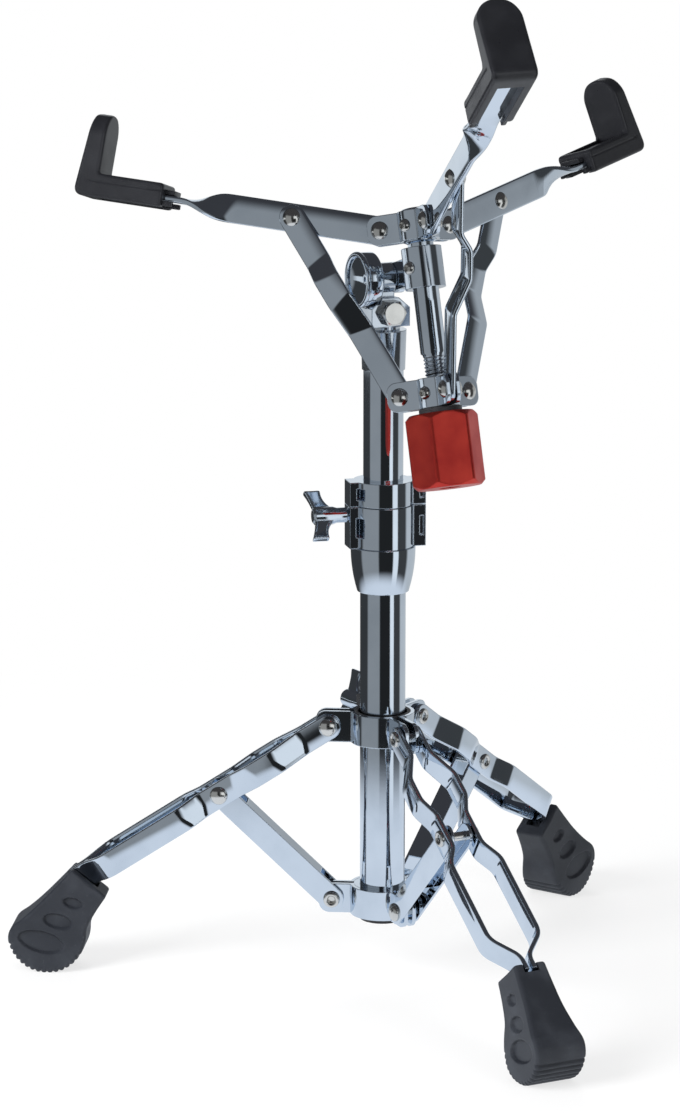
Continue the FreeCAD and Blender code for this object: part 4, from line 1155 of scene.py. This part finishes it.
# Tilter
def knob_back():
    """The knob's bore, boss and rounded back edge, up to its flange."""
    body_r = KNOB_R - KNOB_EDGE
    flange = KNOB_OUTER - KNOB_RIM
    edge_start = (body_r - 2 * KNOB_EDGE, KNOB_INNER)
    edge_middle = (body_r - KNOB_EDGE / 2, KNOB_INNER + KNOB_EDGE / 2)
    edge_end = (body_r, KNOB_INNER + 2 * KNOB_EDGE)
    profile = [(KNOB_HOLE_R, KNOB_BORE_END), (KNOB_BORE_R, KNOB_BORE_END), (KNOB_BORE_R, KNOB_BOSS_LOW),
               (KNOB_BOSS_R - KNOB_EDGE, KNOB_BOSS_LOW), (KNOB_BOSS_R, KNOB_BOSS_LOW + KNOB_EDGE),
               (KNOB_BOSS_R, KNOB_INNER)]
    profile += arc(edge_start, edge_middle, edge_end, KNOB_EDGE_STEPS)
    return profile + [edge_end, (body_r, flange - KNOB_EDGE), (body_r - KNOB_EDGE, flange)]


def knob_front():
    """The knob's rounded rim, its bowl and the raised ring in the middle."""
    bowl_r = KNOB_R - KNOB_RIM
    bowl_low = KNOB_OUTER - KNOB_BOWL
    flange = KNOB_OUTER - KNOB_RIM
    crest = (KNOB_R - KNOB_RIM / 2, KNOB_OUTER)
    profile = arc((KNOB_R, flange + KNOB_EDGE), crest, (bowl_r, flange + KNOB_EDGE), KNOB_RIM_STEPS)
    for step in range(KNOB_BOWL_STEPS + 1):
        radius = bowl_r + (KNOB_RING_R - bowl_r) * step / KNOB_BOWL_STEPS
        profile.append((radius, bowl_low + (flange - bowl_low) * (radius / bowl_r) ** 2))
    return profile + [(KNOB_RING_R, bowl_low + KNOB_EDGE), (KNOB_HOLE_R, bowl_low + KNOB_EDGE),
                      (KNOB_HOLE_R, KNOB_BORE_END + KNOB_EDGE)]


def make_knob():
    """A disc knob about the tilt axis: a rounded rim, a deep bowl and a small hole in its middle."""
    points, faces = lathe(knob_back() + knob_front())
    place = shift(0, 0, TILT_Z) @ Matrix.Rotation(math.radians(-90), 4, "Y")
    piece("tilt_knob_dished", points, faces, place, "chrome", "tilt_knob", "tilt_knob", KNOB_SMOOTH_ANGLE)


def hex_ring(depth, face_r):
    """A hexagon whose corners are turned down to a cone, as (radius, angle) points."""
    ring = []
    for turn in full_turn(HEX_STEPS):
        flat = HEX_FLATS / 2 / math.cos(turn % (math.pi / 3) - math.pi / 6)
        ring.append((min(flat, face_r + depth / math.tan(math.radians(HEX_CHAMFER))), turn))
    return ring


def make_hex_bolt():
    """Bolt and nut through the tilter's head, with round faces turned on both hexagons."""
    face_r = HEX_FLATS / 2 - HEX_EDGE
    depths = [HEX_CHAMFER_H * i / HEX_CHAMFER_STEPS for i in range(HEX_CHAMFER_STEPS + 1)]
    levels = [(HEX_SEAT + HEX_HEAD_H, hex_ring(0, HEX_EDGE))]
    levels += [(HEX_SEAT + HEX_HEAD_H - depth, hex_ring(depth, face_r)) for depth in depths]
    levels.append((HEX_SEAT, hex_ring(HEX_HEAD_H, face_r)))
    levels += [(side * HEX_SEAT, hex_ring(0, HEX_SHANK_R)) for side in (1, -1)]
    levels.append((-HEX_SEAT, hex_ring(HEX_NUT_H, face_r)))
    levels += [(depth - HEX_SEAT - HEX_NUT_H, hex_ring(depth, face_r)) for depth in reversed(depths)]
    end = -HEX_SEAT - HEX_NUT_H - HEX_SHANK_R / 2
    levels += [(y, hex_ring(0, HEX_SHANK_R)) for y in (-HEX_SEAT - HEX_NUT_H, end + HEX_EDGE)]
    levels.append((end, hex_ring(0, HEX_SHANK_R - HEX_EDGE)))
    rings = [[(r * math.cos(t), -y, HEX_Z + r * math.sin(t)) for r, t in ring] for y, ring in levels]
    points, faces = loft(rings)
    piece("tilter_hex_bolt_turned", points, faces, Matrix(), "bright_fastener", "mast", "tilter_hex_bolt",
          HEX_SMOOTH_ANGLE)


# Wing bolts
def wing_half(x, z):
    return WING_T / 2 * np.ones_like(x)


def no_recess(x, z):
    return np.zeros_like(x)


def wing_ears(seat):
    """Two flared ears in one cast plate, with a dip between them."""
    top = seat + WING_HUB_LEN
    tip = top + WING_FLARE
    half = WING_SPAN / 2
    inner = tip - WING_EAR_W
    dip = (top - WING_FLARE / 2, 0)
    waist = (seat + WING_ROOT, WING_WAIST)
    outline = arc(waist, (inner - WING_EDGE, half / 2), (inner, half), WING_ARC_STEPS)
    outline += line((inner, half), (tip, half), WING_END_STEPS)
    outline += arc((tip, half), (top, half / 2), dip, WING_ARC_STEPS)
    lower = [(x, -z) for x, z in reversed(outline)]
    ring = eased(even(outline + [dip] + lower, WING_SPACING), WING_EASING)
    ear = half * WING_SPINE_SHARE
    spine = [(tip - WING_EAR_W / 2, ear), (top - WING_EAR_W / 2, 0), (tip - WING_EAR_W / 2, -ear)]
    return moulded(ring, spine, wing_half, WING_EDGE, no_recess, WING_RINGS, WING_BAND)


def wing_hub(seat, shank_end, shank_r):
    """The shank and the hub with its neck, turned about X."""
    top = seat + WING_HUB_LEN
    root = seat + WING_ROOT
    neck_r = WING_HUB_R * WING_NECK_SHARE
    profile = [(shank_r, shank_end), (shank_r, seat), (neck_r, seat + WING_EDGE / 2),
               (neck_r, root - WING_EDGE), (WING_HUB_R, root + WING_EDGE), (WING_HUB_R, top - WING_EDGE),
               (WING_HUB_R * WING_CROWN_SHARE, top), (WING_HUB_R * WING_CENTRE_SHARE, top)]
    spun, faces = lathe(profile, SMALL_LATHE_STEPS)
    return [(z, x, y) for x, y, z in spun], faces


def make_wing_bolts():
    for node, body, seat, shank_end, shank_r, tilt, turn, height in WING_BOLTS:
        points, faces = joined(wing_ears(seat), wing_hub(seat, shank_end, shank_r))
        place = turn_z(turn) @ shift(0, 0, height) @ Matrix.Rotation(math.radians(tilt), 4, "X")
        piece(node + "_cast", points, faces, place, "chrome", body, node)


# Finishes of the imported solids, by the slots in their record
def finish_nodes():
    slots = {part["node"]: part["material_slot"] for part in frame["record"]["subparts"]}
    for name, node in frame["nodes"].items():
        node.data.materials.clear()
        node.data.materials.append(FINISHES[slots[name]])


# Studio: plating mirrors a pale floor near by and, further out, panels round the room
def panels(recipe, east, north, table):
    """Brightness of the room by compass direction."""
    turn = recipe.node("ShaderNodeMath", {"operation": "ARCTAN2"}, {0: north, 1: east})
    share = recipe.node("ShaderNodeMath", {"operation": "FRACT"}, {0: turn * (0.5 / math.pi) + 1.0})
    stops = [(degrees / 360, rgba([value * tint for tint in PANEL_TINT])) for degrees, value in table]
    return recipe.node("ShaderNodeValToRGB", {"stops": stops}, {"Fac": share})


def split(recipe, vector):
    """The three parts of a vector."""
    parts = recipe.node("ShaderNodeSeparateXYZ", {}, {"Vector": vector}).socket.node
    return [Wire(recipe, socket) for socket in parts.outputs]


def camera_rays(recipe):
    return recipe.node("ShaderNodeLightPath", {}, {}, "Is Camera Ray")


def mirrored_rays(recipe):
    return recipe.node("ShaderNodeLightPath", {}, {}, "Is Glossy Ray")


def mirrored_floor(recipe, spot, radius):
    """What plating sees of the floor: white near by, then the panels, which change far out."""
    east, north, _ = split(recipe, spot)
    beyond = recipe.ramp(radius, *SWEEP_RANGE)
    distant = recipe.ramp(radius, *PANELS_RANGE)
    near_panels = panels(recipe, east, north, PANELS)
    around = recipe.mix(distant, near_panels, panels(recipe, east, north, FAR_PANELS))
    return recipe.mix(beyond, rgba(FLOOR_MIRRORED), around)


def pale_floor():
    material, recipe = new_material("pale_floor")
    spot = recipe.node("ShaderNodeNewGeometry", {}, {}, "Position")
    radius = recipe.node("ShaderNodeVectorMath", {"operation": "LENGTH"}, {0: spot}, "Value")
    lit = recipe.node("ShaderNodeBsdfDiffuse", {}, {"Color": rgba(FLOOR_PAINT)})
    glow = recipe.node("ShaderNodeEmission", {}, {"Color": rgba(WHITE), "Strength": 1.0})
    room = recipe.node("ShaderNodeEmission", {}, {
        "Color": mirrored_floor(recipe, spot, radius), "Strength": 1.0})
    fade = recipe.ramp(radius, *SHADOW_RANGE)
    glow_share = fade * (GLOW_FAR_SHARE - GLOW_NEAR_SHARE) + GLOW_NEAR_SHARE
    seen = recipe.blend(camera_rays(recipe) * glow_share, lit, glow)
    surface = recipe.blend(mirrored_rays(recipe), seen, room)
    recipe.node("ShaderNodeOutputMaterial", {}, {"Surface": surface})
    return material


def make_floor():
    mesh = bpy.data.meshes.new("floor")
    far = FLOOR_REACH
    mesh.from_pydata([(-far, -far, 0), (far, -far, 0), (far, far, 0), (-far, far, 0)], [], [(0, 1, 2, 3)])
    floor = put("floor", mesh)
    mesh.materials.append(pale_floor())


def make_world():
    """White to the camera, panels under a dark ceiling to the plating, and an even light to the rest."""
    world = bpy.data.worlds.new("studio")
    bpy.context.scene.world = world
    world.use_nodes = True
    recipe = Recipe(world.node_tree)
    east, north, height = split(recipe, recipe.node("ShaderNodeTexCoord", {}, {}, "Generated"))
    overhead = recipe.ramp(height, *SKY_SHARES)
    room = recipe.mix(overhead, panels(recipe, east, north, SKY_PANELS), rgba(CEILING))
    plain = recipe.node("ShaderNodeBackground", {}, {"Color": rgba(AMBIENT), "Strength": AMBIENT_STRENGTH})
    seen = recipe.node("ShaderNodeBackground", {}, {"Color": rgba(WHITE), "Strength": 1.0})
    mirrored = recipe.node("ShaderNodeBackground", {}, {"Color": room, "Strength": 1.0})
    around = recipe.blend(mirrored_rays(recipe), plain, mirrored)
    surface = recipe.blend(camera_rays(recipe), around, seen)
    recipe.node("ShaderNodeOutputWorld", {}, {"Surface": surface})


def make_lamps():
    """Soft boxes that light the rubber and the floor, and that plating doesn't mirror."""
    for name, at, size, power in LAMPS:
        data = bpy.data.lights.new(name, "AREA")
        data.shape = "RECTANGLE"
        data.size, data.size_y = size
        data.energy = power
        lamp = put(name, data)
        lamp.location = at
        lamp.rotation_euler = (Vector(LAMP_TARGET) - Vector(at)).to_track_quat("-Z", "Y").to_euler()
        lamp.visible_glossy = False


def make_camera():
    data = bpy.data.cameras.new("photo_camera")
    data.sensor_fit = "VERTICAL"
    data.sensor_height = SENSOR_H
    data.lens = CAMERA_FOCAL * SENSOR_H / PHOTO_H
    data.clip_end = CAMERA_REACH * MM
    camera = put("photo_camera", data)
    camera.location = Vector(CAMERA_AT) * MM
    camera.rotation_euler = Vector(CAMERA_LOOK).to_track_quat("-Z", "Y").to_euler()
    bpy.context.scene.camera = camera


finish_nodes()
make_bars()
make_feet()
make_arms()
make_links()
make_tips()
make_rod()
make_leg_rivets()
make_knob()
make_hex_bolt()
make_wing_bolts()
make_floor()
make_world()
make_lamps()
make_camera()
bpy.context.scene.view_settings.view_transform = "Standard"
